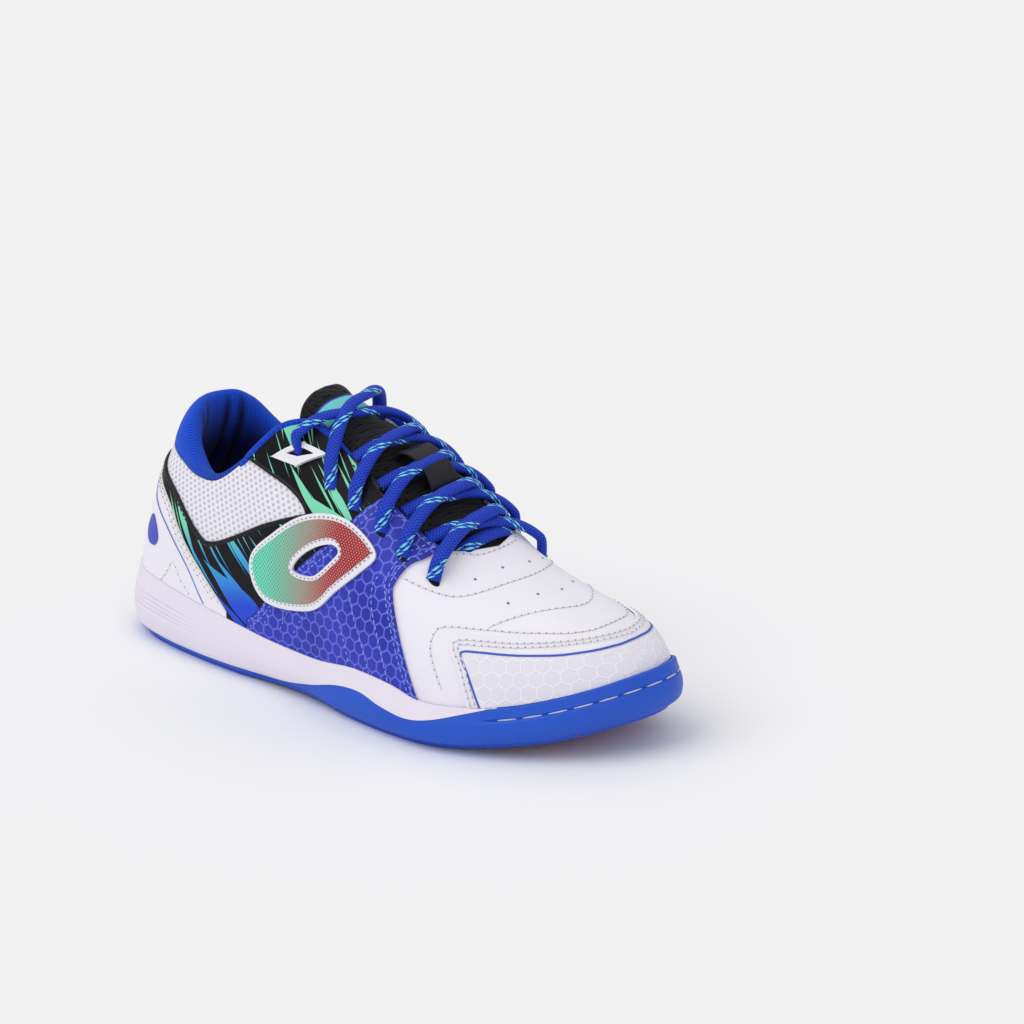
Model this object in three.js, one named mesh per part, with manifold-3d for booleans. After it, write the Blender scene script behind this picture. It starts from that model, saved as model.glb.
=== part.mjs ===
// A right indoor soccer shoe: moulded cup sole, foam midsole, hollow last-shaped upper,
// padded collar and tongue, stitched overlays and crossed laces.
// Millimetres. X runs from heel to toe, Y to the wearer's left (medial), Z up from the floor.
import * as THREE from 'three';
import { mergeVertices } from 'three/addons/utils/BufferGeometryUtils.js';
import Module from 'manifold-3d';

const wasm = await Module();
wasm.setup();

// Driving sizes
const soleLength = 268;
const ballWidth = 96;
const soleHeight = 31; // top of the sole's rim at the heel
const instepHeight = 91; // ridge of the upper at the middle of the lacing
const lipWidth = 5; // from the sole's edge to the upper
const upperWall = 1.6;
const fitGap = 0.3; // between curved pieces that meet
const overlayWall = 1.0;
const insoleThickness = 3.2;
const tongueThickness = 5.5;
const rollThickness = 10; // padded collar at the heel
const liningDepth = 36; // how far the collar's padding reaches down inside
const laceWidth = 6.2;
const laceThickness = 3.4;
const lugHeight = 1.8;
const grooveDepth = 1.0;

// Plan of the sole: centre and half width as shares of half the ball width
const plan = {
  at: [0, 0.06, 0.12, 0.22, 0.35, 0.46, 0.56, 0.65, 0.73, 0.81, 0.88, 0.94, 0.98, 1],
  centre: [0, 0, -0.01, -0.04, -0.08, -0.1, -0.09, -0.06, -0.01, 0.08, 0.18, 0.27, 0.34, 0.37],
  half: [0, 0.59, 0.69, 0.74, 0.74, 0.76, 0.86, 0.95, 0.99, 0.93, 0.8, 0.6, 0.36, 0],
};
// Heights along the sole, as shares of its height at the heel
const soleLine = {
  at: [0, 0.05, 0.1, 0.3, 0.37, 0.48, 0.56, 0.66, 0.8, 0.9, 1],
  bottom: [0.06, 0.015, 0, 0, 0.06, 0.06, 0, 0, 0.07, 0.21, 0.45],
};
const rimLine = {
  at: [0, 0.1, 0.25, 0.38, 0.48, 0.58, 0.66, 0.72, 0.78, 0.86, 0.94, 1],
  height: [1, 0.95, 0.81, 0.68, 0.66, 0.77, 0.74, 0.61, 0.6, 0.74, 0.94, 1.13],
};
// Where blue rubber meets white foam; ahead of the last row it is all rubber
const splitLine = {
  at: [0, 0.1, 0.3, 0.42, 0.48, 0.55, 0.6, 0.64, 0.7, 0.735],
  height: [0.2, 0.15, 0.145, 0.2, 0.32, 0.49, 0.52, 0.45, 0.42, 0.58],
};
// Side of the sole: inset in millimetres against height
const soleSide = { height: [0, 0.12, 0.35, 0.6, 0.85, 1], inset: [4.5, 1.6, 0, 0.3, 2.0, 3.0] };

// Cross sections of the upper. Feather edge is a share of the sole's height, ridge a share of the
// instep height, lean a share of half the ball width towards the medial side
const last = {
  at: [0, 0.15, 0.28, 0.38, 0.48, 0.58, 0.66, 0.74, 0.82, 0.89, 0.95, 0.985, 1],
  feather: [0.71, 0.65, 0.55, 0.48, 0.45, 0.44, 0.44, 0.45, 0.5, 0.56, 0.65, 0.71, 0.74],
  ridge: [1.54, 1.54, 1.48, 1.34, 1.19, 1.02, 0.87, 0.74, 0.643, 0.571, 0.484, 0.385, 0.308],
  fullness: [2.4, 2.4, 2.5, 2.8, 3.1, 3.1, 2.75, 2.35, 2.35, 2.5, 2.6, 2.5, 2.3],
  lean: [0, 0, 0.05, 0.14, 0.22, 0.22, 0.19, 0.15, 0.12, 0.08, 0.04, 0, 0],
};
const heelLean = 26; // forward shift of the heel's back at the leaning height
const heelLeanPower = 1.3;
const heelLeanHeight = 70;
const heelLeanReach = 0.35; // share of the length that the lean fades over

// Free edge of the upper as shares of the way from feather edge to ridge
const throatEnd = 0.708;
const edge = {
  at: [0, 0.05, 0.1, 0.16, 0.224, 0.27, 0.308, 0.34, 0.37, 0.4, 0.43, 0.5, 0.6, 0.64],
  lateral: [0.34, 0.33, 0.31, 0.292, 0.31, 0.37, 0.44, 0.53, 0.63, 0.7, 0.715, 0.7, 0.7, 0.71],
  medial: [0.34, 0.34, 0.325, 0.305, 0.305, 0.335, 0.38, 0.44, 0.52, 0.61, 0.68, 0.7, 0.7, 0.71],
};
const throatRound = 0.64; // where the throat starts to round off

// Smooth curve through a table, without overshoot at its ends
function along(xs, ys, x) {
  const clamped = Math.min(Math.max(x, xs[0]), xs[xs.length - 1]);
  let i = xs.length - 2;
  while (i > 0 && xs[i] > clamped) i -= 1;
  const slope = (k) => (ys[k + 1] - ys[k]) / (xs[k + 1] - xs[k]);
  const tangent = (k) => {
    if (k === 0) return slope(0);
    if (k === xs.length - 1) return slope(k - 1);
    const before = xs[k] - xs[k - 1];
    const after = xs[k + 1] - xs[k];
    return (slope(k - 1) * after + slope(k) * before) / (before + after);
  };
  const step = xs[i + 1] - xs[i];
  const t = (clamped - xs[i]) / step;
  const u = 1 - t;
  return ys[i] * (1 + 2 * t) * u * u + tangent(i) * step * t * u * u
    + ys[i + 1] * t * t * (3 - 2 * t) + tangent(i + 1) * step * t * t * (t - 1);
}

const smooth = (low, high, x) => THREE.MathUtils.smoothstep(x, low, high);
const mix = THREE.MathUtils.lerp;
const halfSquared = plan.half.map((share) => share * share);
const centreAt = (at) => (ballWidth / 2) * along(plan.at, plan.centre, at);
const halfAt = (at) => (ballWidth / 2) * Math.sqrt(Math.max(0, along(plan.at, halfSquared, at)));
const bottomAt = (at) => soleHeight * Math.max(0, along(soleLine.at, soleLine.bottom, at));
const rimAt = (at) => soleHeight * along(rimLine.at, rimLine.height, at);
const featherAt = (at) => soleHeight * along(last.at, last.feather, at);

// A point of the plan outline, moved inwards
function planPoint(at, side, inset) {
  const shrink = 1 - (2 * inset) / ballWidth;
  const x = inset + at * (soleLength - 2 * inset);
  return [x, centreAt(at) + side * halfAt(at) * shrink];
}

// A point of the upper. across runs from 0 at the lateral feather edge over 1 at the ridge
// to 2 at the medial feather edge; off is the distance outside the upper's face
function upperPoint(at, across, off) {
  const feather = featherAt(at);
  const ridge = instepHeight * along(last.at, last.ridge, at) + off;
  const power = 2 / along(last.at, last.fullness, at);
  const angle = (across * Math.PI) / 2;
  const inset = lipWidth - off;
  const width = halfAt(at) * (1 - (2 * inset) / ballWidth);
  const cosine = Math.cos(angle);
  const rise = Math.abs(Math.sin(angle));
  const sideways = Math.sign(cosine) * Math.abs(cosine) ** power;
  const lean = (ballWidth / 2) * along(last.at, last.lean, at) * rise * rise;
  const z = feather + (ridge - feather) * rise ** power;
  const height = Math.max(0, (z - soleHeight) / heelLeanHeight);
  const forward = heelLean * height ** heelLeanPower * Math.max(0, 1 - at / heelLeanReach);
  const x = inset + at * (soleLength - 2 * inset) + forward;
  return new THREE.Vector3(x, centreAt(at) - width * sideways + lean, z);
}

// How far the upper reaches from feather edge to ridge
function edgeAt(at, side) {
  const open = along(edge.at, side < 0 ? edge.lateral : edge.medial, at);
  if (at <= throatRound) return open;
  const t = Math.min(1, (at - throatRound) / (throatEnd - throatRound));
  return 1 - (1 - open) * Math.sqrt(Math.max(0, 1 - t * t));
}
const acrossOn = (side, share) => (side < 0 ? share : 2 - share);

// Stations closer together where the shoe is round
const even = (from, to, count) => Array.from({ length: count + 1 }, (_, i) => mix(from, to, i / count));
const lengthSteps = even(0, 1, 24).map((t) => (1 - Math.cos(Math.PI * t)) / 2);
const throatSteps = 5;
const throatApart = 0.015; // between the throat's own stations and the rest
const stations = [
  ...lengthSteps.filter((at) => at < throatRound - throatApart),
  ...even(0, 1, throatSteps).map((t) => mix(throatRound, throatEnd, Math.sin((Math.PI / 2) * t))),
  ...lengthSteps.filter((at) => at > throatEnd + throatApart),
];

// Geometry from quads and triangles, with shared corners merged
class Skin {
  constructor() {
    this.corners = [];
  }

  triangle(a, b, c) {
    if (a.distanceTo(b) < 2e-3 || b.distanceTo(c) < 2e-3 || c.distanceTo(a) < 2e-3) return;
    for (const p of [a, b, c]) this.corners.push(p.x, p.y, p.z);
  }

  quad(a, b, c, d, flip = false) {
    if (flip) {
      this.triangle(a, c, b);
      this.triangle(a, d, c);
    } else {
      this.triangle(a, b, c);
      this.triangle(a, c, d);
    }
  }

  geometry() {
    const made = new THREE.BufferGeometry();
    made.setAttribute('position', new THREE.Float32BufferAttribute(this.corners, 3));
    return mergeVertices(made, 1e-3);
  }
}

// Adds a sheet with thickness: place(i, j, layer) gives its outer (0) and inner (1) points,
// rim(side, k) says which free borders are closed
function addShell(skin, columns, rows, place, flip, rim) {
  for (let i = 0; i < columns; i += 1) {
    for (let j = 0; j < rows; j += 1) {
      for (const layer of [0, 1]) {
        const turned = layer === 0 ? flip : !flip;
        skin.quad(place(i, j, layer), place(i + 1, j, layer), place(i + 1, j + 1, layer),
          place(i, j + 1, layer), turned);
      }
    }
    if (rim('low', i)) {
      skin.quad(place(i, 0, 1), place(i + 1, 0, 1), place(i + 1, 0, 0), place(i, 0, 0), flip);
    }
    if (rim('high', i)) {
      skin.quad(place(i, rows, 0), place(i + 1, rows, 0), place(i + 1, rows, 1),
        place(i, rows, 1), flip);
    }
  }
  for (let j = 0; j < rows; j += 1) {
    if (rim('start', j)) {
      skin.quad(place(0, j, 1), place(0, j, 0), place(0, j + 1, 0), place(0, j + 1, 1), flip);
    }
    if (rim('end', j)) {
      skin.quad(place(columns, j, 0), place(columns, j, 1), place(columns, j + 1, 1),
        place(columns, j + 1, 0), flip);
    }
  }
}
const closedRim = () => true;

// Closes the end of a tube with a fan from the ring's last corner
function closeEnd(skin, ring, flip) {
  const hub = ring[ring.length - 1];
  for (let k = 0; k < ring.length - 2; k += 1) {
    if (flip) skin.triangle(hub, ring[k + 1], ring[k]);
    else skin.triangle(hub, ring[k], ring[k + 1]);
  }
}

// A body of stacked outline rings, closed by flat ladders at its first and last ring
function ringBody(rings) {
  const skin = new Skin();
  const point = (ring, at, side) => {
    const [x, y] = planPoint(at, side, ring.inset(at));
    return new THREE.Vector3(x, y, ring.height(at));
  };
  for (let i = 0; i < stations.length - 1; i += 1) {
    const [a, b] = [stations[i], stations[i + 1]];
    for (let k = 0; k < rings.length - 1; k += 1) {
      for (const side of [-1, 1]) {
        skin.quad(point(rings[k], a, side), point(rings[k], b, side),
          point(rings[k + 1], b, side), point(rings[k + 1], a, side), side > 0);
      }
    }
    const [first, final] = [rings[0], rings[rings.length - 1]];
    skin.quad(point(first, a, 1), point(first, b, 1), point(first, b, -1), point(first, a, -1));
    skin.quad(point(final, a, -1), point(final, b, -1), point(final, b, 1), point(final, a, 1));
  }
  return skin.geometry();
}

// Joins and cuts. Cutting forms reach this far past the shoe
const beyond = 20;
const underneath = -40;
const overhead = 200;

function solid(geometry) {
  const bare = geometry.index ? geometry : geometry.clone();
  bare.deleteAttribute('normal');
  bare.deleteAttribute('uv');
  const merged = mergeVertices(bare, 1e-4);
  return new wasm.Manifold(new wasm.Mesh({
    numProp: 3,
    vertProperties: new Float32Array(merged.attributes.position.array),
    triVerts: new Uint32Array(merged.index.array),
  }));
}

function surface(body) {
  const mesh = body.getMesh();
  const made = new THREE.BufferGeometry();
  made.setAttribute('position', new THREE.BufferAttribute(new Float32Array(mesh.vertProperties), 3));
  made.setIndex(new THREE.BufferAttribute(new Uint32Array(mesh.triVerts), 1));
  return made;
}

const shoe = new THREE.Group();
function addPiece(name, geometry, color, roughness, metalness = 0) {
  const mesh = new THREE.Mesh(geometry, new THREE.MeshStandardMaterial({ color, roughness, metalness }));
  mesh.name = name;
  shoe.add(mesh);
}

const blueRubber = 0x1e50d2;
const whiteFoam = 0xded7e4;
const whiteLeather = 0xebe9f0;
const blackPrint = 0x1e1e26;
const hexBlue = 0x3a42bd;
const knitBlue = 0x2350d7;
const mintPatch = 0x78dcb9;
const darkRubber = 0x2a2a30;

// Sole: one cup form, split into rubber below the wavy line and foam above it
const lowRings = [0, 0.12, 0.38]; // as shares of the side's height, below the ribs
const ribCount = 3;
const ribLow = 0.5; // as a share of the side's height
const ribPitch = 0.06;
const ribReach = 0.2; // share of the length that the heel's ribs fade over
const ribDepth = 0.6;
const grooveLow = 0.7; // toe groove, as shares of the side's height
const grooveHigh = 0.79;
const grooveStart = 0.74;

function cupRings() {
  const side = (share, extra) => ({
    inset: (at) => along(soleSide.height, soleSide.inset, share) + extra(at),
    height: (at) => mix(bottomAt(at) + lugHeight * (1 - share), rimAt(at), share),
  });
  const plain = () => 0;
  const groove = (at) => grooveDepth * smooth(grooveStart, grooveStart + 0.02, at);
  const rib = (at) => ribDepth * (1 - smooth(ribReach * 0.6, ribReach, at));
  const rings = lowRings.map((share) => side(share, plain));
  for (let k = 0; k < ribCount; k += 1) {
    rings.push(side(ribLow + k * ribPitch, k % 2 === 0 ? plain : rib));
  }
  rings.push(side(grooveLow, plain), side(grooveLow + 0.01, groove), side(grooveHigh, groove));
  rings.push(side(grooveHigh + 0.01, plain), side(1, plain));
  const innerLip = lipWidth - fitGap;
  rings.push({ inset: () => innerLip, height: rimAt });
  rings.push({ inset: () => innerLip + 0.2, height: (at) => featherAt(at) - fitGap });
  return rings;
}

// Everything under or over the split line, as a wide prism across the shoe
const splitSteps = 36;
const stepSlant = 0.5; // of the line's last rise

function splitPrism(upward, gap) {
  const far = soleLength + beyond;
  const jump = splitLine.at[splitLine.at.length - 1];
  const outline = even(-0.02, jump, splitSteps).map((at) => [
    at * soleLength,
    soleHeight * along(splitLine.at, splitLine.height, at) + gap,
  ]);
  const shape = new THREE.Shape();
  const [splitEnd] = outline[outline.length - 1];
  const level = upward ? overhead : -overhead;
  const back = outline[0][0] - beyond;
  shape.moveTo(back, level);
  for (const [x, z] of [[back, outline[0][1]], ...outline]) shape.lineTo(x, z);
  shape.lineTo(splitEnd + stepSlant + (upward ? 0 : fitGap), overhead);
  if (!upward) {
    shape.lineTo(far, overhead);
    shape.lineTo(far, level);
  }
  shape.closePath();
  const prism = new THREE.ExtrudeGeometry(shape, { depth: ballWidth * 2, bevelEnabled: false });
  prism.rotateX(Math.PI / 2);
  prism.translate(0, ballWidth, 0);
  return solid(prism);
}

// Tread: bars across heel and forefoot, round a turning disc under the ball
const treadInset = 6;
const barPitch = 11;
const barWidth = 6.5;
const pivotAt = 0.69;
const pivotRadius = 15;
const pivotClear = 3;
const slotWidth = 4; // between the bars, along the sole

function treadBars() {
  const slab = solid(ringBody([
    { inset: () => treadInset + 0.8, height: bottomAt },
    { inset: () => treadInset, height: (at) => bottomAt(at) + lugHeight + 0.6 },
  ]));
  const deep = 60;
  const box = (x, y, width, breadth) => {
    const made = new THREE.BoxGeometry(width, breadth, deep);
    made.translate(x, y, 0);
    return made;
  };
  const disc = (radius) => {
    const made = new THREE.CylinderGeometry(radius, radius, deep, 24);
    made.rotateX(Math.PI / 2);
    made.translate(pivotAt * soleLength, centreAt(pivotAt) + ballWidth * 0.1, 0);
    return made;
  };
  const rows = [];
  for (const [from, to] of [[0.06, 0.3], [0.54, 0.95]]) {
    const count = Math.floor(((to - from) * soleLength) / barPitch);
    for (let k = 0; k <= count; k += 1) rows.push(from * soleLength + k * barPitch);
  }
  let bars = solid(disc(pivotRadius));
  const clear = solid(disc(pivotRadius + pivotClear));
  for (const x of rows) bars = bars.add(solid(box(x, 0, barWidth, ballWidth * 1.5)).subtract(clear));
  const slot = solid(box(soleLength / 2, centreAt(0.2), soleLength * 2, slotWidth))
    .subtract(solid(disc(pivotRadius)));
  return bars.subtract(slot).intersect(slab);
}

const cup = solid(ringBody(cupRings()));
addPiece('outsole', surface(cup.intersect(splitPrism(false, 0)).add(treadBars())), blueRubber, 0.55);
addPiece('midsole', surface(cup.intersect(splitPrism(true, fitGap))), whiteFoam, 0.6);

// Foot bed, dished at its edge
const bedInset = lipWidth + upperWall + fitGap;
const bedSlope = 5.6; // width of its raised edge
addPiece('insole', ringBody([
  { inset: () => bedInset + 0.6, height: (at) => featherAt(at) + 0.1 },
  { inset: () => bedInset, height: (at) => featherAt(at) + insoleThickness * 0.6 },
  { inset: () => bedInset + 0.4, height: (at) => featherAt(at) + insoleThickness + 1 },
  { inset: () => bedInset + 0.4 + bedSlope, height: (at) => featherAt(at) + insoleThickness },
]), knitBlue, 0.9);

// A wall on the last's form, open at the collar, throat and underneath
const wallRows = 7;
function lastShell(outside, inside) {
  const skin = new Skin();
  for (const side of [-1, 1]) {
    const place = (i, j, layer) => {
      const at = stations[i];
      const share = (edgeAt(at, side) * j) / wallRows;
      return upperPoint(at, acrossOn(side, share), layer === 0 ? outside : inside);
    };
    const rim = (border, k) => border === 'low'
      || (border === 'high' && stations[k + 1] <= throatEnd + 1e-9);
    addShell(skin, stations.length - 1, wallRows, place, side > 0, rim);
  }
  return skin.geometry();
}
addPiece('upper', lastShell(0, -upperWall), whiteLeather, 0.5);

// Padded collar: a roll over the upper's edge that goes on down inside as the lining
const roll = {
  at: [0, 0.02, 0.05, 0.1, 0.16, 0.22, 0.27, 0.32, 0.36, 0.4],
  thick: [1, 1, 1, 1, 0.95, 0.85, 0.65, 0.4, 0.3, 0.22],
  rise: [1, 0.96, 0.74, 0.45, 0.23, 0.16, 0.13, 0.1, 0.09, 0.075],
  depth: [1, 1, 1, 1, 1, 1, 1, 1.05, 1.1, 1.1],
};
const rollRise = 24.5;
const collarEnd = 0.43; // share of the length where the roll meets the lacing
// Section of the collar: in as a share of its thickness, up as a share of its rise, or down as a
// share of its depth where negative
const rollSection = {
  inward: [0, 0, 0.12, 0.42, 0.75, 1, 1, 0.7, 0.45],
  height: [0, 0.5, 0.86, 1, 0.9, 0.4, -0.18, -0.5, -1],
};
const facetClear = 0.8; // room that flat facets take on a round form
const liningWall = 1;
const rollInner = upperWall + fitGap + facetClear;

function collarRing(at, hand) {
  const thick = rollThickness * along(roll.at, roll.thick, at);
  const rise = rollRise * along(roll.at, roll.rise, at);
  const depth = liningDepth * along(roll.at, roll.depth, at);
  const open = edgeAt(at, hand);
  const spot = (share) => upperPoint(at, acrossOn(hand, share), 0);
  const reach = spot(open).distanceTo(spot(open - 0.05)) / 0.05;
  const outline = rollSection.height.map((share, k) => {
    const inward = rollSection.inward[k] * thick;
    const least = share < 0 ? rollInner + liningWall : 0;
    return [share * (share > 0 ? rise : depth), Math.max(inward, least)];
  });
  outline.push([-depth, rollInner], [0, rollInner]);
  return outline.map(([up, inward]) => {
    const share = Math.max(0.02, open + (up + fitGap) / reach);
    return upperPoint(at, acrossOn(hand, share), -inward);
  });
}

function collar() {
  const skin = new Skin();
  const side = [...stations.filter((at) => at < collarEnd - 0.02), collarEnd];
  const walk = [...side.slice(1).reverse().map((at) => [at, -1]), ...side.map((at) => [at, 1])];
  const rings = walk.map(([at, hand]) => collarRing(at, hand));
  for (let i = 0; i < rings.length - 1; i += 1) {
    for (let k = 0; k < rings[i].length; k += 1) {
      const next = (k + 1) % rings[i].length;
      skin.quad(rings[i][k], rings[i + 1][k], rings[i + 1][next], rings[i][next], true);
    }
  }
  closeEnd(skin, rings[0], true);
  closeEnd(skin, rings[rings.length - 1], false);
  return skin.geometry();
}
addPiece('collar', collar(), knitBlue, 0.9);

// Tongue: padded sheet under the throat, free above the collar
const tongue = {
  at: [0.362, 0.37, 0.39, 0.42, 0.46, 0.5, 0.6, 0.7, 0.76],
  half: [0.24, 0.32, 0.38, 0.43, 0.46, 0.47, 0.45, 0.42, 0.34],
};
const [tongueTop] = tongue.at;
const topLift = 3.6; // of the tongue's free edge
const topReach = 0.03;
const tongueClear = 0.8; // under the wall's flat facets
const tongueDrop = upperWall + tongueClear;
const insideCollar = 2; // further in where it lies inside the collar's lining
const tongueFace = (at) => topLift * (1 - smooth(tongueTop, tongueTop + topReach, at))
  - tongueDrop - insideCollar * (1 - smooth(collarEnd, collarEnd + 0.05, at));

function tonguePad() {
  const skin = new Skin();
  const columns = 11;
  const rows = 8;
  const toe = tongue.at[tongue.at.length - 1];
  const lengths = even(0, 1, columns).map((t) => mix(tongueTop, toe, t ** 1.4));
  const place = (i, j, layer) => {
    const at = lengths[i];
    const half = along(tongue.at, tongue.half, at);
    const share = 2 * (j / rows) - 1;
    const padding = tongueThickness * Math.sqrt(Math.max(0.09, 1 - share * share));
    return upperPoint(at, 1 + half * share, tongueFace(at) - (layer === 0 ? 0 : padding));
  };
  addShell(skin, columns, rows, place, false, closedRim);
  return skin.geometry();
}
addPiece('tongue', tonguePad(), blackPrint, 0.9);

// Panels on the upper. Each line is a list of places as [share of the length, share across]
const counterLine = [[0, 0.26], [0.05, 0.24], [0.103, 0.2], [0.17, 0.125], [0.231, 0.071], [0.278, 0]];
const meshLine = [[0, 0.285], [0.05, 0.268], [0.12, 0.223], [0.194, 0.16], [0.235, 0.152],
  [0.325, 0.219], [0.422, 0.32], [0.44, 0.36], [0.395, 0.405], [0.295, 0.395]];
const panelRear = [[0.324, 0], [0.352, 0.053], [0.406, 0.133], [0.433, 0.168], [0.491, 0.293],
  [0.529, 0.452], [0.543, 0.543], [0.565, 0.71]];
const panelFront = [[0.7, 0.8], [0.678, 0.68], [0.647, 0.54], [0.637, 0.42], [0.638, 0.35],
  [0.669, 0.204], [0.712, 0]];
const capRear = [[0.796, 0], [0.772, 0.219], [0.743, 0.346], [0.76, 0.412]];
const capTop = 49; // height of the toe cap's upper edge
const capTurn = 6; // how far its corner is cut forward

// Side view of a line on one side of the upper, moved along the shoe by shift
function sideView(line, side, shift) {
  const flat = line.map(([at, share]) => {
    const p = upperPoint(at, acrossOn(side, share), 0);
    return new THREE.Vector2(p.x + shift, share === 0 ? underneath : p.z);
  });
  return new THREE.SplineCurve(flat).getPoints(flat.length * 2);
}
function acrossPrism(outline, from, to) {
  const shape = new THREE.Shape(outline);
  const prism = new THREE.ExtrudeGeometry(shape, { depth: to - from, bevelEnabled: false });
  prism.rotateX(Math.PI / 2);
  prism.translate(0, to, 0);
  return solid(prism);
}
const reachOut = 90;
const spanOf = (side) => (side < 0 ? [-reachOut, -fitGap / 2] : [fitGap / 2, reachOut]);
const halfGap = fitGap / 2;
const corner = (x, z) => new THREE.Vector2(x, z);

// Everything above the sole's rim, so that panels end just over it
const rimClear = 0.6;
const aboveRim = (() => {
  const low = stations.map((at) => corner(planPoint(at, -1, lipWidth)[0], rimAt(at) + rimClear));
  const [heel, toe] = [low[0], low[low.length - 1]];
  return acrossPrism([corner(-beyond, heel.y), ...low, corner(soleLength + beyond, toe.y),
    corner(soleLength + beyond, overhead), corner(-beyond, overhead)], -reachOut, reachOut);
})();
const overlayForm = solid(lastShell(fitGap + overlayWall, fitGap)).intersect(aboveRim);

const cutPast = 5; // so that no two cuts share a face
for (const [side, hand] of [[-1, 'lateral'], [1, 'medial']]) {
  const [from, to] = spanOf(side);
  const panel = [...sideView(panelRear, side, halfGap), ...sideView(panelFront, side, 0)];
  const sidePanel = acrossPrism(panel, from, to);
  addPiece(`side_panel_${hand}`, surface(overlayForm.intersect(sidePanel)), hexBlue, 0.55);
  const counterSide = sideView(counterLine, side, halfGap);
  const rear = sideView(panelRear, side, -halfGap);
  const quarter = acrossPrism([corner(-beyond, counterSide[0].y), ...counterSide, ...rear,
    corner(rear[rear.length - 1].x, overhead), corner(-beyond, overhead)], from, to);
  const meshSide = sideView(meshLine, side, 0);
  const mesh = acrossPrism([corner(-beyond, meshSide[0].y), ...meshSide,
    corner(meshSide[meshSide.length - 1].x, overhead), corner(-beyond, overhead)],
  from - cutPast, to + cutPast);
  addPiece(`quarter_${hand}`, surface(overlayForm.intersect(quarter).subtract(mesh)), blackPrint, 0.5);
}

const counterFlat = sideView(counterLine, -1, -halfGap);
const counterTop = counterFlat.map((p) => corner(p.x, p.y - fitGap));
const counterPrism = acrossPrism([corner(-beyond, counterTop[0].y), ...counterTop,
  corner(-beyond, underneath)], -reachOut, reachOut);
addPiece('heel_counter', surface(overlayForm.intersect(counterPrism)), whiteLeather, 0.5);

const capBack = sideView(capRear, -1, 0).filter((p) => p.y < capTop);
const capPrism = acrossPrism([...capBack, corner(capBack[capBack.length - 1].x + capTurn, capTop),
  corner(soleLength + beyond, capTop), corner(soleLength + beyond, underneath)], -reachOut, reachOut);
addPiece('toe_cap', surface(overlayForm.intersect(capPrism)), whiteLeather, 0.5);

// Raised pieces on the panels: a slanted badge on the lateral side and a lace loop on each side
const badgeWall = 1.2;
const loopWall = 2;
const onPanels = 2 * fitGap + overlayWall;
const badgeOutline = [[0.335, 0.15], [0.385, 0.245], [0.53, 0.45], [0.593, 0.435], [0.575, 0.31],
  [0.475, 0.09], [0.37, 0.075]];
const badgeWindow = [[0.432, 0.165], [0.447, 0.215], [0.508, 0.315], [0.525, 0.3], [0.482, 0.185]];
const loopOutline = [[0.365, 0.473], [0.409, 0.597], [0.45, 0.617], [0.407, 0.493]];
const loopSlit = [[0.392, 0.522], [0.41, 0.57], [0.43, 0.583], [0.408, 0.538]];

function closedView(line, side) {
  const flat = line.map(([at, share]) => {
    const p = upperPoint(at, acrossOn(side, share), onPanels);
    return new THREE.Vector3(p.x, p.z, 0);
  });
  const loop = new THREE.CatmullRomCurve3(flat, true, 'centripetal').getPoints(flat.length * 3);
  return loop.slice(0, -1).map((p) => corner(p.x, p.y));
}
const badgeForm = solid(lastShell(onPanels + badgeWall, onPanels));
const loopForm = solid(lastShell(onPanels + loopWall, onPanels));
addPiece('side_badge', surface(badgeForm
  .intersect(acrossPrism(closedView(badgeOutline, -1), ...spanOf(-1)))
  .subtract(acrossPrism(closedView(badgeWindow, -1), -reachOut, 0))), mintPatch, 0.6);
for (const [side, hand] of [[-1, 'lateral'], [1, 'medial']]) {
  const [from, to] = spanOf(side);
  addPiece(`lace_loop_${hand}`, surface(loopForm
    .intersect(acrossPrism(closedView(loopOutline, side), from, to))
    .subtract(acrossPrism(closedView(loopSlit, side), from, to))), whiteLeather, 0.4);
}

// On the tongue: a patch near its top and the keeper that the laces pass under
function tonguePlate(atFrom, atTo, half, wall, arch) {
  const skin = new Skin();
  const columns = arch > 0 ? 6 : 2;
  const rows = 4;
  const place = (i, j, layer) => {
    const bow = arch * Math.sin((Math.PI * i) / columns) ** 0.4;
    const at = mix(atFrom, atTo, i / columns);
    const off = tongueFace(at) + facetClear + bow + (layer === 0 ? wall : 0);
    return upperPoint(at, 1 + half * ((2 * j) / rows - 1), off);
  };
  addShell(skin, columns, rows, place, false, closedRim);
  return skin.geometry();
}
addPiece('tongue_patch', tonguePlate(0.392, 0.42, 0.2, 0.8, 0), mintPatch, 0.5);

// Laces: five crossings, from eyelet pairs whose medial one lies a little further forward
const eyelets = {
  at: [0.409, 0.47, 0.525, 0.582, 0.629, 0.685],
  share: [0.64, 0.558, 0.553, 0.577, 0.576, 0.605],
};
const medialForward = 0.03; // share of the length
const laceSteps = 7;
const laceSides = 6;
const laceStart = onPanels + facetClear + laceThickness / 2; // out of an eyelet, over the panel
const laceUnder = 1.7; // height of the lower lace where two cross
const laceOver = laceUnder + laceThickness * 0.94;
const laceEnd = facetClear + laceThickness / 2 - tongueDrop; // on the tongue, by the far edge
const laceStop = 0.79; // share across where a lace meets the far edge
const loopStop = 0.66; // share across where the top lace meets its loop

// One lace from an eyelet across the tongue, as places and distances outside the last
function laceRoute(side, low, high, middle) {
  const atOf = (k, hand) => eyelets.at[k] + (hand > 0 ? medialForward : 0);
  const far = 2 - eyelets.share[high];
  const near = eyelets.share[low];
  const [stop, finish] = high === 0 ? [loopStop, laceStart] : [laceStop, laceEnd];
  const whole = (2 - stop - near) / (far - near);
  return even(0, whole, laceSteps).map((t) => {
    const rising = mix(laceStart, middle, smooth(0, 0.5, t));
    return [mix(atOf(low, side), atOf(high, -side), t), acrossOn(side, mix(near, far, t)),
      mix(rising, finish, smooth(0.55, whole, t))];
  });
}

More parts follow.
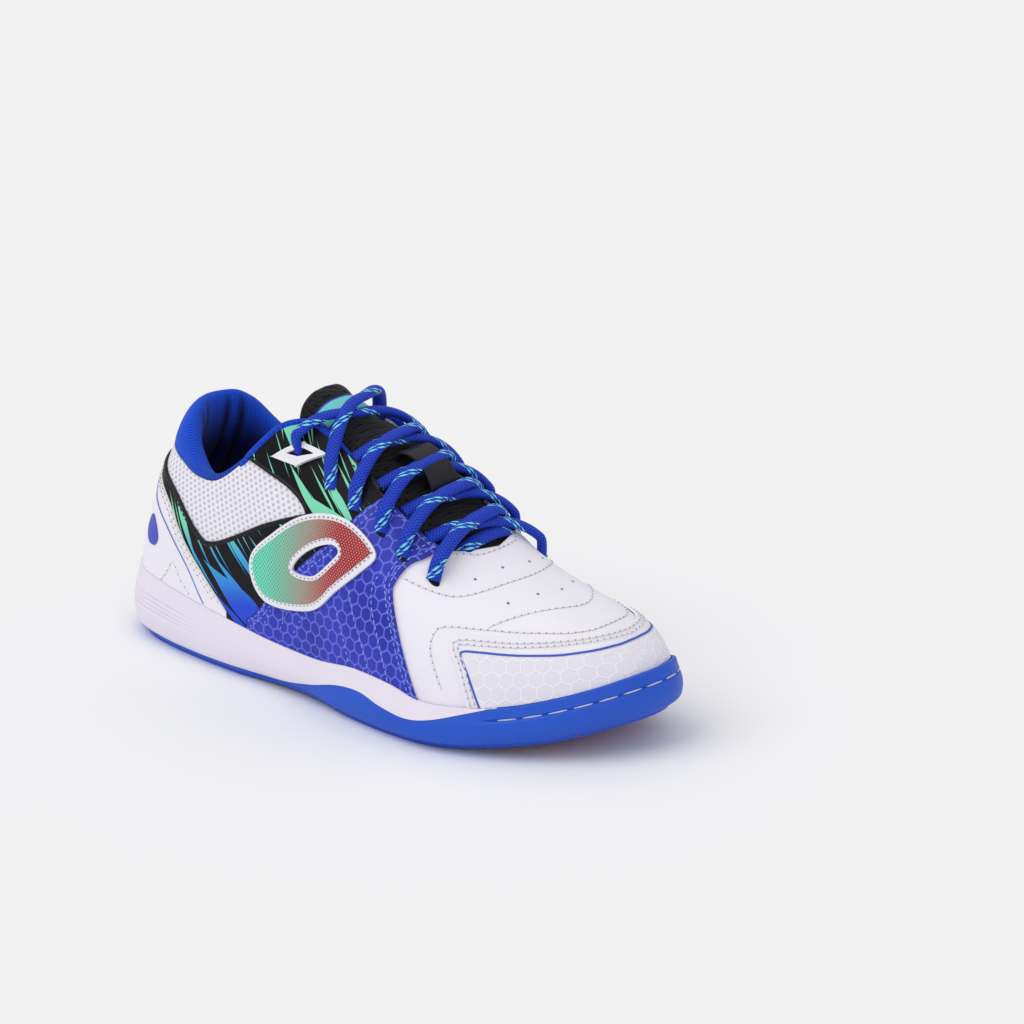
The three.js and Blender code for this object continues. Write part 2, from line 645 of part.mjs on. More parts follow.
function lace(path) {
  const skin = new Skin();
  const rings = path.map(([at, across, off], i) => {
    const here = upperPoint(at, across, off);
    const up = upperPoint(at, across, off + 1).sub(here).normalize();
    const [a, b] = [path[Math.max(0, i - 1)], path[Math.min(laceSteps, i + 1)]];
    const forward = upperPoint(...b).sub(upperPoint(...a)).normalize();
    const sideways = new THREE.Vector3().crossVectors(forward, up).normalize();
    return Array.from({ length: laceSides }, (_, k) => {
      const angle = (2 * Math.PI * k) / laceSides;
      return here.clone()
        .addScaledVector(sideways, (Math.cos(angle) * laceWidth) / 2)
        .addScaledVector(up, (Math.sin(angle) * laceThickness) / 2);
    });
  });
  for (let i = 0; i < laceSteps; i += 1) {
    for (let k = 0; k < laceSides; k += 1) {
      const next = (k + 1) % laceSides;
      skin.quad(rings[i][k], rings[i + 1][k], rings[i + 1][next], rings[i][next]);
    }
  }
  closeEnd(skin, rings[0], false);
  closeEnd(skin, rings[rings.length - 1], true);
  return solid(skin.geometry());
}
for (let k = 1; k < eyelets.at.length; k += 1) {
  const over = lace(laceRoute(-1, k, k - 1, laceOver));
  const under = lace(laceRoute(1, k, k - 1, laceUnder));
  addPiece(`lace_crossing_${k}`, surface(over.add(under)), knitBlue, 0.8);
}
const keeperArch = laceOver + laceThickness / 2 + tongueDrop + facetClear;
addPiece('lace_keeper', tonguePlate(0.536, 0.596, 0.04, 1.2, keeperArch), darkRubber, 0.6);

// The bar that joins the lowest eyelets, under the lowest crossing
const barRoute = even(-1, 1, laceSteps).map((t) => [0.692, 0.97 + 0.075 * t, laceEnd]);
addPiece('lace_bar', surface(lace(barRoute)), knitBlue, 0.8);

// The origin lies under the middle of the shoe, on the floor
const box = new THREE.Box3().setFromObject(shoe);
shoe.position.set(-(box.min.x + box.max.x) / 2, -(box.min.y + box.max.y) / 2, -box.min.z);
shoe.updateMatrixWorld(true);

export default shoe;
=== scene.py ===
# Right indoor soccer shoe. Every piece is drawn on one last surface, in the shoe's own millimetres,
# and turned into the frame's metres at the end.
import math
import bmesh
import bpy
from mathutils import Matrix, Vector


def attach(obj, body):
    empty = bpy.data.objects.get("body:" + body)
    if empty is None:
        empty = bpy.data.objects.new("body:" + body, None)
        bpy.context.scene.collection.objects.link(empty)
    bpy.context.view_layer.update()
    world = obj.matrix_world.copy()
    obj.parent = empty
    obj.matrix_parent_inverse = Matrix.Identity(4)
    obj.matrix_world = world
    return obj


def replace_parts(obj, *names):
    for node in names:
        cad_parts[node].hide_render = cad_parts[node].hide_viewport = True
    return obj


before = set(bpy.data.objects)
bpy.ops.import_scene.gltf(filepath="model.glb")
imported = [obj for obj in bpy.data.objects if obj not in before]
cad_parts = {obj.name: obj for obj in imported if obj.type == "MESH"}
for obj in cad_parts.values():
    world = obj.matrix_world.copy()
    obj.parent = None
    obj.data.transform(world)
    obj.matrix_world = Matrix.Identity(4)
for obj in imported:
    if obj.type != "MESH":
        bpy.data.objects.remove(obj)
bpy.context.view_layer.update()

shoe = {
    "length": 268, "ball": 96, "soleHeight": 31, "instep": 91, "lip": 5, "wall": 1.6,
    "gap": 0.3, "overlay": 1.0, "lug": 1.8, "shift": Vector((-134, 0.176, 0)),
}
shoe["onPanels"] = 2 * shoe["gap"] + shoe["overlay"]


def along(xs, ys, x):
    x = min(max(x, xs[0]), xs[-1])
    i = len(xs) - 2
    while i > 0 and xs[i] > x:
        i -= 1
    slope = lambda k: (ys[k + 1] - ys[k]) / (xs[k + 1] - xs[k])

    def tangent(k):
        if k == 0:
            return slope(0)
        if k == len(xs) - 1:
            return slope(k - 1)
        before, after = xs[k] - xs[k - 1], xs[k + 1] - xs[k]
        return (slope(k - 1) * after + slope(k) * before) / (before + after)

    step = xs[i + 1] - xs[i]
    t = (x - xs[i]) / step
    u = 1 - t
    return (ys[i] * (1 + 2 * t) * u * u + tangent(i) * step * t * u * u
            + ys[i + 1] * t * t * (3 - 2 * t) + tangent(i + 1) * step * t * t * (t - 1))


def through(xs, ys, count=600):  # a curve through a table, kept as close samples to be quick
    span = xs[-1] - xs[0]
    kept = [along(xs, ys, xs[0] + span * i / count) for i in range(count + 1)]

    def read(x):
        t = min(max((x - xs[0]) / span, 0), 1) * count
        i = min(int(t), count - 1)
        return kept[i] + (kept[i + 1] - kept[i]) * (t - i)
    return read


def mix(a, b, t):
    return a + (b - a) * t


def smooth(low, high, x):
    t = min(max((x - low) / (high - low), 0), 1)
    return t * t * (3 - 2 * t)


def eased(k, count=1):  # shares from 0 to 1, closer together at both ends
    return (1 - math.cos(math.pi * k / count)) / 2


# The last and the sole, as in the part's source
planAt = [0, 0.06, 0.12, 0.22, 0.35, 0.46, 0.56, 0.65, 0.73, 0.81, 0.88, 0.94, 0.98, 1]
planCentre = through(planAt, [0, 0, -0.01, -0.04, -0.08, -0.1, -0.09, -0.06, -0.01, 0.08, 0.18, 0.27, 0.34, 0.37])
planHalf = through(planAt, [h * h for h in
                            (0, 0.59, 0.69, 0.74, 0.74, 0.76, 0.86, 0.95, 0.99, 0.93, 0.8, 0.6, 0.36, 0)])
soleBottom = through([0, 0.05, 0.1, 0.3, 0.37, 0.48, 0.56, 0.66, 0.8, 0.9, 1],
                     [0.06, 0.015, 0, 0, 0.06, 0.06, 0, 0, 0.07, 0.21, 0.45])
soleRim = through([0, 0.1, 0.25, 0.38, 0.48, 0.58, 0.66, 0.72, 0.78, 0.86, 0.94, 1],
                  [1, 0.95, 0.81, 0.68, 0.66, 0.77, 0.74, 0.63, 0.64, 0.74, 0.94, 1.13])
splitEnd = 0.835
soleSplit = through([0, 0.1, 0.3, 0.42, 0.48, 0.55, 0.6, 0.64, 0.7, 0.74, 0.78, splitEnd],
                    [0.2, 0.15, 0.145, 0.2, 0.32, 0.49, 0.52, 0.45, 0.4, 0.46, 0.56, 0.7])
sideInset = through([0, 0.12, 0.35, 0.6, 0.85, 1], [4.5, 1.6, 0, 0.3, 2.0, 3.0])
lastAt = [0, 0.15, 0.28, 0.38, 0.48, 0.58, 0.66, 0.74, 0.82, 0.89, 0.95, 0.985, 1]
lastFeather = through(lastAt, [0.71, 0.65, 0.55, 0.48, 0.45, 0.44, 0.44, 0.45, 0.5, 0.56, 0.65, 0.71, 0.74])
lastRidge = through(lastAt, [1.54, 1.54, 1.48, 1.34, 1.19, 1.02, 0.87, 0.74, 0.643, 0.571, 0.484, 0.385, 0.308])
lastFullness = through(lastAt, [2.4, 2.4, 2.5, 2.8, 3.1, 3.1, 2.75, 2.35, 2.35, 2.5, 2.6, 2.5, 2.3])
lastLean = through(lastAt, [0, 0, 0.05, 0.14, 0.22, 0.22, 0.19, 0.15, 0.12, 0.08, 0.04, 0, 0])
edgeAts = [0, 0.05, 0.1, 0.16, 0.224, 0.27, 0.308, 0.34, 0.37, 0.4, 0.43, 0.5, 0.6, 0.64]
edgeOf = {
    -1: through(edgeAts, [0.34, 0.33, 0.31, 0.292, 0.31, 0.37, 0.44, 0.53, 0.63, 0.7, 0.715, 0.7, 0.7, 0.71]),
    1: through(edgeAts, [0.34, 0.34, 0.325, 0.305, 0.305, 0.335, 0.38, 0.44, 0.52, 0.61, 0.68, 0.7, 0.7, 0.71]),
}
throat = {"round": 0.64, "end": 0.708}
heelLean = {"amount": 26, "power": 1.3, "height": 70, "reach": 0.35}


def centreAt(at):
    return shoe["ball"] / 2 * planCentre(at)


def halfAt(at):
    return shoe["ball"] / 2 * math.sqrt(max(0, planHalf(at)))


def bottomAt(at):
    return shoe["soleHeight"] * max(0, soleBottom(at))


def rimAt(at):
    return shoe["soleHeight"] * soleRim(at)


def splitAt(at):
    rim = rimAt(at)
    return rim if at >= splitEnd else min(rim, shoe["soleHeight"] * soleSplit(at))


def featherAt(at):
    return shoe["soleHeight"] * lastFeather(at)


def planPoint(at, side, inset, z):  # a point of the sole's outline, moved inwards
    shrink = 1 - 2 * inset / shoe["ball"]
    return Vector((inset + at * (shoe["length"] - 2 * inset), centreAt(at) + side * halfAt(at) * shrink, z))


flexLines = {"curve": 9, "start": 190, "spacing": 2.6, "middle": 196, "reach": 9, "wide": 0.62, "deep": 0.12}


def crease(at, across):  # soft troughs across the flex of the forefoot
    u = at * shoe["length"] + flexLines["curve"] * (across - 1) ** 2
    near = math.exp(-((u - flexLines["middle"]) / flexLines["reach"]) ** 2)
    flex = math.sin((u - flexLines["start"]) / flexLines["spacing"]) * near
    wide = math.exp(-((across - 1.0) / flexLines["wide"]) ** 4)
    return -flexLines["deep"] * flex * wide


def upperPoint(at, across, off):
    off = off + crease(at, across)
    feather = featherAt(at)
    ridge = shoe["instep"] * lastRidge(at) + off
    power = 2 / lastFullness(at)
    angle = across * math.pi / 2
    inset = shoe["lip"] - off
    width = halfAt(at) * (1 - 2 * inset / shoe["ball"])
    cosine, rise = math.cos(angle), abs(math.sin(angle))
    sideways = math.copysign(abs(cosine) ** power, cosine)
    z = feather + (ridge - feather) * rise ** power
    height = max(0, (z - shoe["soleHeight"]) / heelLean["height"])
    forward = heelLean["amount"] * height ** heelLean["power"] * max(0, 1 - at / heelLean["reach"])
    lean = shoe["ball"] / 2 * lastLean(at) * rise * rise
    return Vector((inset + at * (shoe["length"] - 2 * inset) + forward,
                   centreAt(at) - width * sideways + lean, z))


def edgeAt(at, side):
    opening = edgeOf[side](at)
    if at <= throat["round"]:
        return opening
    t = min(1, (at - throat["round"]) / (throat["end"] - throat["round"]))
    return 1 - (1 - opening) * math.sqrt(max(0, 1 - t * t))


def footAt(at, off):  # share across where a layer on the upper meets the sole's rim
    feather = featherAt(at)
    ridge = shoe["instep"] * lastRidge(at) + off
    rise = (rimAt(at) + shoe["gap"] - feather) / (ridge - feather)
    return 2 / math.pi * math.asin(min(1, max(0, rise) ** (lastFullness(at) / 2)))


def onSide(side, share):
    return share if side < 0 else 2 - share


def inFrame(point):
    return (point + shoe["shift"]) / 1000


# Distance up the side from the feather edge, so that patterns keep their size
acrossSteps = 48
atSteps = 80
reachUp = {}
for hand in (-1, 1):
    rows = []
    for i in range(atSteps + 1):
        at = i / atSteps
        row = [0.0]
        for j in range(1, acrossSteps + 1):
            a = upperPoint(at, onSide(hand, (j - 1) / acrossSteps), 0)
            b = upperPoint(at, onSide(hand, j / acrossSteps), 0)
            row.append(row[-1] + (b - a).length)
        rows.append(row)
    reachUp[hand] = rows


def girth(at, share, hand):
    u, v = min(max(at, 0), 1) * atSteps, min(max(share, 0), 1) * acrossSteps
    i, j = min(int(u), atSteps - 1), min(int(v), acrossSteps - 1)
    rows = reachUp[hand]
    low = mix(rows[i][j], rows[i][j + 1], v - j)
    high = mix(rows[i + 1][j], rows[i + 1][j + 1], v - j)
    return mix(low, high, u - i)


# Node maths as plain expressions
class Flow:
    def __init__(self, finish, socket):
        self.finish = finish
        self.socket = socket

    def math(self, operation, *others):
        return self.finish.node("ShaderNodeMath", {"operation": operation}, (self, *others))

    def __add__(self, other):
        return self.math("ADD", other)

    def __sub__(self, other):
        return self.math("SUBTRACT", other)

    def __rsub__(self, other):
        return self.finish.node("ShaderNodeMath", {"operation": "SUBTRACT"}, (other, self))

    def __mul__(self, other):
        return self.math("MULTIPLY", other)

    def __truediv__(self, other):
        return self.math("DIVIDE", other)

    def __lt__(self, other):
        return self.math("LESS_THAN", other)

    def __gt__(self, other):
        return self.math("GREATER_THAN", other)

    __radd__ = __add__
    __rmul__ = __mul__


class Finish:
    def __init__(self, name, **constants):
        self.material = bpy.data.materials.new(name)
        self.material.use_nodes = True
        self.tree = self.material.node_tree
        self.shader = self.tree.nodes["Principled BSDF"]
        for key, value in constants.items():
            socket = self.shader.inputs[key.replace("_", " ")]
            socket.default_value = (*value, 1) if isinstance(value, tuple) else value

    def node(self, kind, settings=None, inputs=(), out=0):
        made = self.tree.nodes.new(kind)
        for key, value in (settings or {}).items():
            if key == "stops":
                ramp = made.color_ramp
                while len(ramp.elements) < len(value):
                    ramp.elements.new(0.5)
                for element, (position, color) in zip(ramp.elements, value):
                    element.position = position
                    element.color = (*color, 1) if isinstance(color, tuple) else (color, color, color, 1)
            else:
                setattr(made, key, value)
        pairs = inputs.items() if isinstance(inputs, dict) else enumerate(inputs)
        for key, value in pairs:
            if isinstance(value, Flow):
                self.tree.links.new(value.socket, made.inputs[key])
            elif value is not None:
                made.inputs[key].default_value = value
        return Flow(self, made.outputs[out])

    def place(self, source="Object"):  # object place in millimetres, or the piece's own map
        if source == "Object":
            point = self.node("ShaderNodeTexCoord", out=3)
            return self.node("ShaderNodeVectorMath", {"operation": "SCALE"}, {0: point, "Scale": 1000.0})
        return self.node("ShaderNodeUVMap", {"uv_map": "flat"})

    def split(self, vector):
        made = self.node("ShaderNodeSeparateXYZ", None, (vector,))
        outputs = made.socket.node.outputs
        return [Flow(self, outputs[k]) for k in range(3)]

    def noise(self, place, scale, detail, rough=0.5):
        return self.node("ShaderNodeTexNoise", None,
                         {"Vector": place, "Scale": scale, "Detail": detail, "Roughness": rough})

    def step(self, value, low, high, a=0.0, b=1.0):
        return self.node("ShaderNodeMapRange", {"interpolation_type": "SMOOTHSTEP"}, (value, low, high, a, b))

    def blend(self, factor, a, b):
        tint = lambda c: (*c, 1) if isinstance(c, tuple) else c
        return self.node("ShaderNodeMix", {"data_type": "RGBA"}, {0: factor, 6: tint(a), 7: tint(b)}, 2)

    def bump(self, height, strength):
        return self.node("ShaderNodeBump", None, {"Strength": strength, "Distance": 0.0003, "Height": height})

    def feed(self, **links):
        for key, value in links.items():
            self.tree.links.new(value.socket, self.shader.inputs[key.replace("_", " ")])
        return self.material


# Shapes on the last
def thicken(piece, wall, offset=1):
    made = piece.modifiers.new("wall", "SOLIDIFY")
    made.thickness = wall / 1000
    made.offset = offset


def roundEdges(piece, width, angle):
    made = piece.modifiers.new("round", "BEVEL")
    made.width = width / 1000
    made.segments = 2
    made.limit_method = "ANGLE"
    made.angle_limit = math.radians(angle)


def finished(name, bm, material):
    mesh = bpy.data.meshes.new(name)
    bm.to_mesh(mesh)
    bm.free()
    mesh.polygons.foreach_set("use_smooth", [True] * len(mesh.polygons))
    piece = bpy.data.objects.new(name, mesh)
    bpy.context.collection.objects.link(piece)
    mesh.materials.append(material)
    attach(piece, "root")
    return piece


def grid(columns, rows, place, uv=None, wrap=False):
    # a grid laid on a surface: place(u, v) and uv(u, v) take shares from 0 to 1
    bm = bmesh.new()
    layer = bm.loops.layers.uv.new("flat")
    bmesh.ops.create_grid(bm, x_segments=columns, y_segments=rows, size=0.5)
    flat = {vert: (vert.co.x + 0.5, vert.co.y + 0.5) for vert in bm.verts}
    if uv:
        for face in bm.faces:
            for loop in face.loops:
                loop[layer].uv = uv(*flat[loop.vert])
    for vert, (u, v) in flat.items():
        vert.co = inFrame(place(u, v))
    if wrap:
        bmesh.ops.remove_doubles(bm, verts=bm.verts, dist=2e-6)
        bmesh.ops.recalc_face_normals(bm, faces=bm.faces)
    return bm


def turnOut(bm):  # makes a sheet's faces look away from the foot
    bm.normal_update()
    middle = inFrame(Vector((0, 0, 30)))
    score = 0
    for face in bm.faces:
        centre = face.calc_center_median()
        score += face.normal.dot(centre - Vector((centre.x, middle.y, min(centre.z, middle.z))))
    if score < 0:
        bmesh.ops.reverse_faces(bm, faces=bm.faces)


def smoothLine(points, steps=5):  # a curve through points; a point given twice is a corner
    out = []
    for i in range(len(points) - 1):
        p1, p2 = points[i], points[i + 1]
        if p1 == p2:
            continue
        p0 = points[i - 1] if i > 0 else p1
        p3 = points[i + 2] if i + 2 < len(points) else p2
        for k in range(steps):
            t = k / steps
            out.append(tuple(
                0.5 * (2 * b + (c - a) * t + (2 * a - 5 * b + 4 * c - d) * t * t
                       + (3 * b - a - 3 * c + d) * t * t * t)
                for a, b, c, d in zip(p0, p1, p2, p3)))
    out.append(tuple(points[-1]))
    return out


def closedLine(points, steps=6):
    ring = points[-1:] + points + points[:2]
    return smoothLine(ring, steps)[steps:-steps - 1]


def alongEdge(side, a, b, inset=0.0, count=24):  # the free edge of the upper between two stations
    return [(mix(a, b, k / count), edgeAt(mix(a, b, k / count), side) - inset) for k in range(count + 1)]


def alongFoot(a, b, off, count=24):
    return [(mix(a, b, k / count), footAt(mix(a, b, k / count), off)) for k in range(count + 1)]


def on(side, line):  # shares of one side as places across
    return [(at, onSide(side, share)) for at, share in line]


def moved(side, line, aside, closed=False):
    # a line moved over the surface in millimetres, to its left when the toe is on the right
    out = []
    for i, (at, share) in enumerate(line):
        before = line[i - 1] if i > 0 or closed else line[i]
        after = line[(i + 1) % len(line)] if i < len(line) - 1 or closed else line[i]
        tall = (upperPoint(at, onSide(side, share + 0.01), 0)
                - upperPoint(at, onSide(side, share - 0.01), 0)).length / 0.02
        run = Vector(((after[0] - before[0]) * shoe["length"], (after[1] - before[1]) * tall)).normalized()
        out.append((at - run.y * aside / shoe["length"], share + run.x * aside / tall))
    return out


fineStations = [eased(k, 190) for k in range(191)]


def measured(points):  # distance travelled along a line at each of its points
    travelled = [0.0]
    for a, b in zip(points, points[1:]):
        travelled.append(travelled[-1] + (b - a).length)
    return travelled


runKept = measured([upperPoint(at, 0.2, 0) for at in fineStations])


def runAt(at):  # distance along the side of the upper, heel to toe
    k = math.acos(min(1, max(-1, 1 - 2 * at))) / math.pi * (len(runKept) - 1)
    i = min(int(k), len(runKept) - 2)
    return mix(runKept[i], runKept[i + 1], k - i)


def handOf(across):  # which side a place lies on, and its share up that side
    return (-1, across) if across <= 1 else (1, 2 - across)


def sideFlat(at, across):  # map in millimetres: along the side, and up from the feather edge
    hand, share = handOf(across)
    return runAt(at), girth(at, share, hand)


def ridgeFlat(at, across):  # map in millimetres: along the length, and out from the ridge
    hand, share = handOf(across)
    return at * shoe["length"], hand * (girth(at, 1, hand) - girth(at, share, hand))


def toeFlat(at, across):  # map that turns round the middle of the toe
    point = upperPoint(at, across, 0)
    return math.atan2(point.y - 7, point.x - 196) * 50, sideFlat(at, across)[1]


def cutSheet(outlines, pitch):  # a sheet in places along and across, holes left open, cut fine enough to bend
    bm = bmesh.new()
    for outline in outlines:
        clean = [p for i, p in enumerate(outline) if (Vector(p) - Vector(outline[i - 1])).length > 1e-6]
        verts = [bm.verts.new((at, across, 0)) for at, across in clean]
        for a, b in zip(verts, verts[1:] + verts[:1]):
            bm.edges.new((a, b))
    bmesh.ops.triangle_fill(bm, use_beauty=True, edges=bm.edges[:])
    bm.normal_update()
    bmesh.ops.reverse_faces(bm, faces=[face for face in bm.faces if face.normal.z < 0])
    low = [min(vert.co[k] for vert in bm.verts) for k in range(2)]
    high = [max(vert.co[k] for vert in bm.verts) for k in range(2)]
    cuts = [(Vector((at, 0, 0)), Vector((1, 0, 0))) for at in fineStations if low[0] < at < high[0]]
    cuts += [(Vector((0, k * pitch, 0)), Vector((0, 1, 0)))
             for k in range(math.ceil(low[1] / pitch), math.floor(high[1] / pitch) + 1)]
    for point, normal in cuts:
        bmesh.ops.bisect_plane(bm, geom=bm.verts[:] + bm.edges[:] + bm.faces[:], dist=1e-7,
                               plane_co=point, plane_no=normal)
    bmesh.ops.remove_doubles(bm, verts=bm.verts, dist=1e-6)
    return bm


def panel(name, outlines, off, wall, material, slot, flat=sideFlat, raised=None, rounding=0.32):
    # a layer on the upper: outlines in places along and across, off and wall in millimetres
    bm = cutSheet(outlines, 0.02)
    layer = bm.loops.layers.uv.new("flat")
    places = {vert: (vert.co.x, vert.co.y) for vert in bm.verts}
    for face in bm.faces:
        for loop in face.loops:
            loop[layer].uv = flat(*places[loop.vert])
    for vert, (at, across) in places.items():
        vert.co = inFrame(upperPoint(at, across, off + (raised(at, across) if raised else 0)))
    bmesh.ops.remove_doubles(bm, verts=bm.verts, dist=2e-6)
    turnOut(bm)
    piece = finished(name, bm, material)
    thicken(piece, wall)
    roundEdges(piece, rounding, 50)
    piece.modifiers.new("shading", "WEIGHTED_NORMAL").keep_sharp = False
    return piece


def beads(bm, centre, run, up, size):  # one small rounded thread or dot, turned along its line
    wide = up.cross(run).normalized()
    turn = Matrix((run, wide, run.cross(wide))).transposed().to_4x4()
    bmesh.ops.create_uvsphere(bm, u_segments=8, v_segments=5, radius=1,
                              matrix=Matrix.Translation(inFrame(centre)) @ turn
                              @ Matrix.Diagonal((*(s / 2000 for s in size), 1))
                              @ Matrix.Rotation(math.pi / 2, 4, "Y"))


def spaced(travelled, pitch, start=0.5):  # even spots on a line: which of its pieces, and how far into it
    count = max(1, int(travelled[-1] / pitch))
    k = 0
    for n in range(count):
        want = (n + start) * travelled[-1] / count - 1e-6
        while travelled[k + 1] < want:
            k += 1
        yield k, (want - travelled[k]) / (travelled[k + 1] - travelled[k])


def stitches(name, rows, material, slot, length, pitch, thick, start=0.5):
    # rows of threads: each row has a height over the upper and a line in places along and across
    bm = bmesh.new()
    for off, line in rows:
        spots = [upperPoint(at, across, off + heelLift(at)) for at, across in line]
        ups = [upperPoint(at, across, off + 2) - spot for (at, across), spot in zip(line, spots)]
        for k, t in spaced(measured(spots), pitch, start):
            beads(bm, spots[k].lerp(spots[k + 1], t), (spots[k + 1] - spots[k]).normalized(),
                  ups[k].lerp(ups[k + 1], t).normalized(), (length, thick, thick * 0.8))
    return finished(name, bm, material)


def dots(name, off, places, size, material):
    bm = bmesh.new()
    for at, across in places:
        spot = upperPoint(at, across, off)
        up = (upperPoint(at, across, off + 1) - spot).normalized()
        run = (upperPoint(at + 0.01, across, off) - spot).normalized()
        beads(bm, spot, run, up, size)
    return finished(name, bm, material)


def rope(name, routes, width, thick, material, slot, around=12):
    # a tube of oval section along each route, given in places along, across and outside the upper
    bm = bmesh.new()
    layer = bm.loops.layers.uv.new("flat")
    for route in routes:
        centres = [upperPoint(*p) for p in route]
        ups = [(upperPoint(at, across, off + 1) - c).normalized() for (at, across, off), c in zip(route, centres)]
        travelled = measured(centres)
        count = len(centres) - 1
        made = bmesh.ops.create_grid(bm, x_segments=count, y_segments=around, size=0.5, calc_uvs=False)["verts"]
        flat = {vert: (round((vert.co.x + 0.5) * count), vert.co.y + 0.5) for vert in made}
        for face in {face for vert in made for face in vert.link_faces}:
            for loop in face.loops:
                i, v = flat[loop.vert]
                loop[layer].uv = (travelled[i], v)
        for vert, (i, v) in flat.items():
            run = (centres[min(count, i + 1)] - centres[max(0, i - 1)]).normalized()
            wide = run.cross(ups[i]).normalized()
            up = wide.cross(run)
            angle = 2 * math.pi * v
            vert.co = inFrame(centres[i] + wide * math.cos(angle) * width / 2 + up * math.sin(angle) * thick / 2)
    bmesh.ops.remove_doubles(bm, verts=bm.verts, dist=2e-6)
    bmesh.ops.holes_fill(bm, edges=[e for e in bm.edges if e.is_boundary], sides=0)
    bmesh.ops.recalc_face_normals(bm, faces=bm.faces)
    return finished(name, bm, material)


# Finishes
def tone(red, green, blue):  # a colour as it looks, from 0 to 255
    linear = lambda c: c / 12.92 if c <= 0.04045 else ((c + 0.055) / 1.055) ** 2.4
    return tuple(linear(c / 255) for c in (red, green, blue))


def hexWeb(finish, x, y, size, line):  # 1 on the lines of a honeycomb, with a soft edge
    tall = math.sqrt(3)
    u, v = x / size, y / size

    def cell(shiftX, shiftY):
        a = (u + shiftX).math("FLOORED_MODULO", 1.0) - 0.5
        b = (v + shiftY).math("FLOORED_MODULO", tall) - tall / 2
        return a, b, a * a + b * b
    a1, b1, d1 = cell(0.0, 0.0)
    a2, b2, d2 = cell(0.5, tall / 2)
    nearer = d1 < d2
    pick = lambda p, q: finish.node("ShaderNodeMix", {"data_type": "FLOAT"}, {0: nearer, 2: q, 3: p})
    gx, gy = pick(a1, a2).math("ABSOLUTE"), pick(b1, b2).math("ABSOLUTE")
    far = gx.math("MAXIMUM", gx * 0.5 + gy * (tall / 2))
    return finish.step(far, 0.5 - line, 0.5 - line * 0.35)


def dotWeb(x, y, across, up):  # squared distance from the nearest dot of staggered rows, in rows
    row = (y / up).math("FLOOR")
    a = ((x + row.math("PINGPONG", 1.0) * (across / 2)) / across).math("FRACT") - 0.5
    b = (y / up).math("FRACT") - 0.5
    return a * a * (across / up) ** 2 + b * b


def leatherFinish(name, color, rough, grain):
    made = Finish(name, Specular_IOR_Level=0.45 if max(color) > 0.05 else 0.2)
    place = made.place()
    mottled = made.noise(place, 0.05, 3.0)
    fine = made.noise(place, 1.1, 4.0, 0.6)
    pores = made.node("ShaderNodeTexVoronoi", {"feature": "DISTANCE_TO_EDGE"}, {"Vector": place, "Scale": 1.3})
    dark = tuple(c * 0.985 for c in color)
    normal = made.bump(fine * 0.5 + made.step(pores, 0.0, 0.22) * 0.5, grain)
    return made.feed(Base_Color=made.blend(made.step(mottled, 0.35, 0.65), color, dark),
                     Roughness=made.step(fine, 0.3, 0.7, rough - 0.05, rough + 0.06), Normal=normal)


whiteLeather = leatherFinish("whiteLeather", tone(240, 237, 246), 0.46, 0.18)
cutEdge = leatherFinish("cutEdge", tone(226, 219, 208), 0.7, 0.2)
mintPlate = leatherFinish("mintPlate", tone(110, 214, 214), 0.38, 0.1)
bluePlate = leatherFinish("bluePlate", tone(56, 74, 190), 0.45, 0.1)
whitePad = leatherFinish("whitePad", tone(236, 234, 240), 0.42, 0.12)
darkStrap = leatherFinish("darkStrap", tone(36, 36, 42), 0.42, 0.1)
shinyTrim = leatherFinish("shinyTrim", tone(24, 24, 30), 0.24, 0.08)


def capFinish():  # white with a shallow pressed honeycomb
    made = Finish("capEmboss", Specular_IOR_Level=0.45)
    x, y, _ = made.split(made.place("flat"))
    web = hexWeb(made, x, y, 6.3, 0.08)
    fine = made.noise(made.place(), 1.1, 4.0)
    return made.feed(Base_Color=made.blend(web, tone(231, 228, 240), tone(244, 242, 249)),
                     Roughness=0.46 + fine * 0.04, Normal=made.bump(web + fine * 0.12, 0.55))


def hexFinish():  # blue film over a honeycomb, lines paler and proud
    made = Finish("hexLeather", Specular_IOR_Level=0.28)
    x, y, _ = made.split(made.place("flat"))
    web = hexWeb(made, x, y, 5.7, 0.085)
    rim = hexWeb(made, x, y, 5.7, 0.2)
    shade = made.noise(made.place(), 0.035, 2.0)
    ground = made.blend(made.step(shade, 0.35, 0.65), tone(38, 48, 172), tone(50, 60, 196))
    cell = made.blend(rim, made.blend(0.25, ground, tone(28, 34, 130)), ground)
    fine = made.noise(made.place(), 1.4, 4.0)
    return made.feed(Base_Color=made.blend(web * 0.8, cell, tone(112, 120, 226)),
                     Roughness=0.42 + fine * 0.1 - web * 0.06, Normal=made.bump(web + fine * 0.12, 0.5))


capEmboss = capFinish()
hexLeather = hexFinish()


printForm = {"lean": -46, "slope": 0.34, "blue": (-16.0, 4.0), "mint": (4.0, 24.0), "bend": 15.0, "sway": 2.6}
# Rows of strokes: width of a row, length of its strokes, seed, widest share of the row, share left out
printRows = ((5.3, 40.0, 3.0, 0.11, 0.42), (12.0, 52.0, 24.0, 0.15, 0.45), (3.4, 30.0, 47.0, 0.1, 0.72),
             (34.0, 64.0, 9.3, 0.2, 0.3))


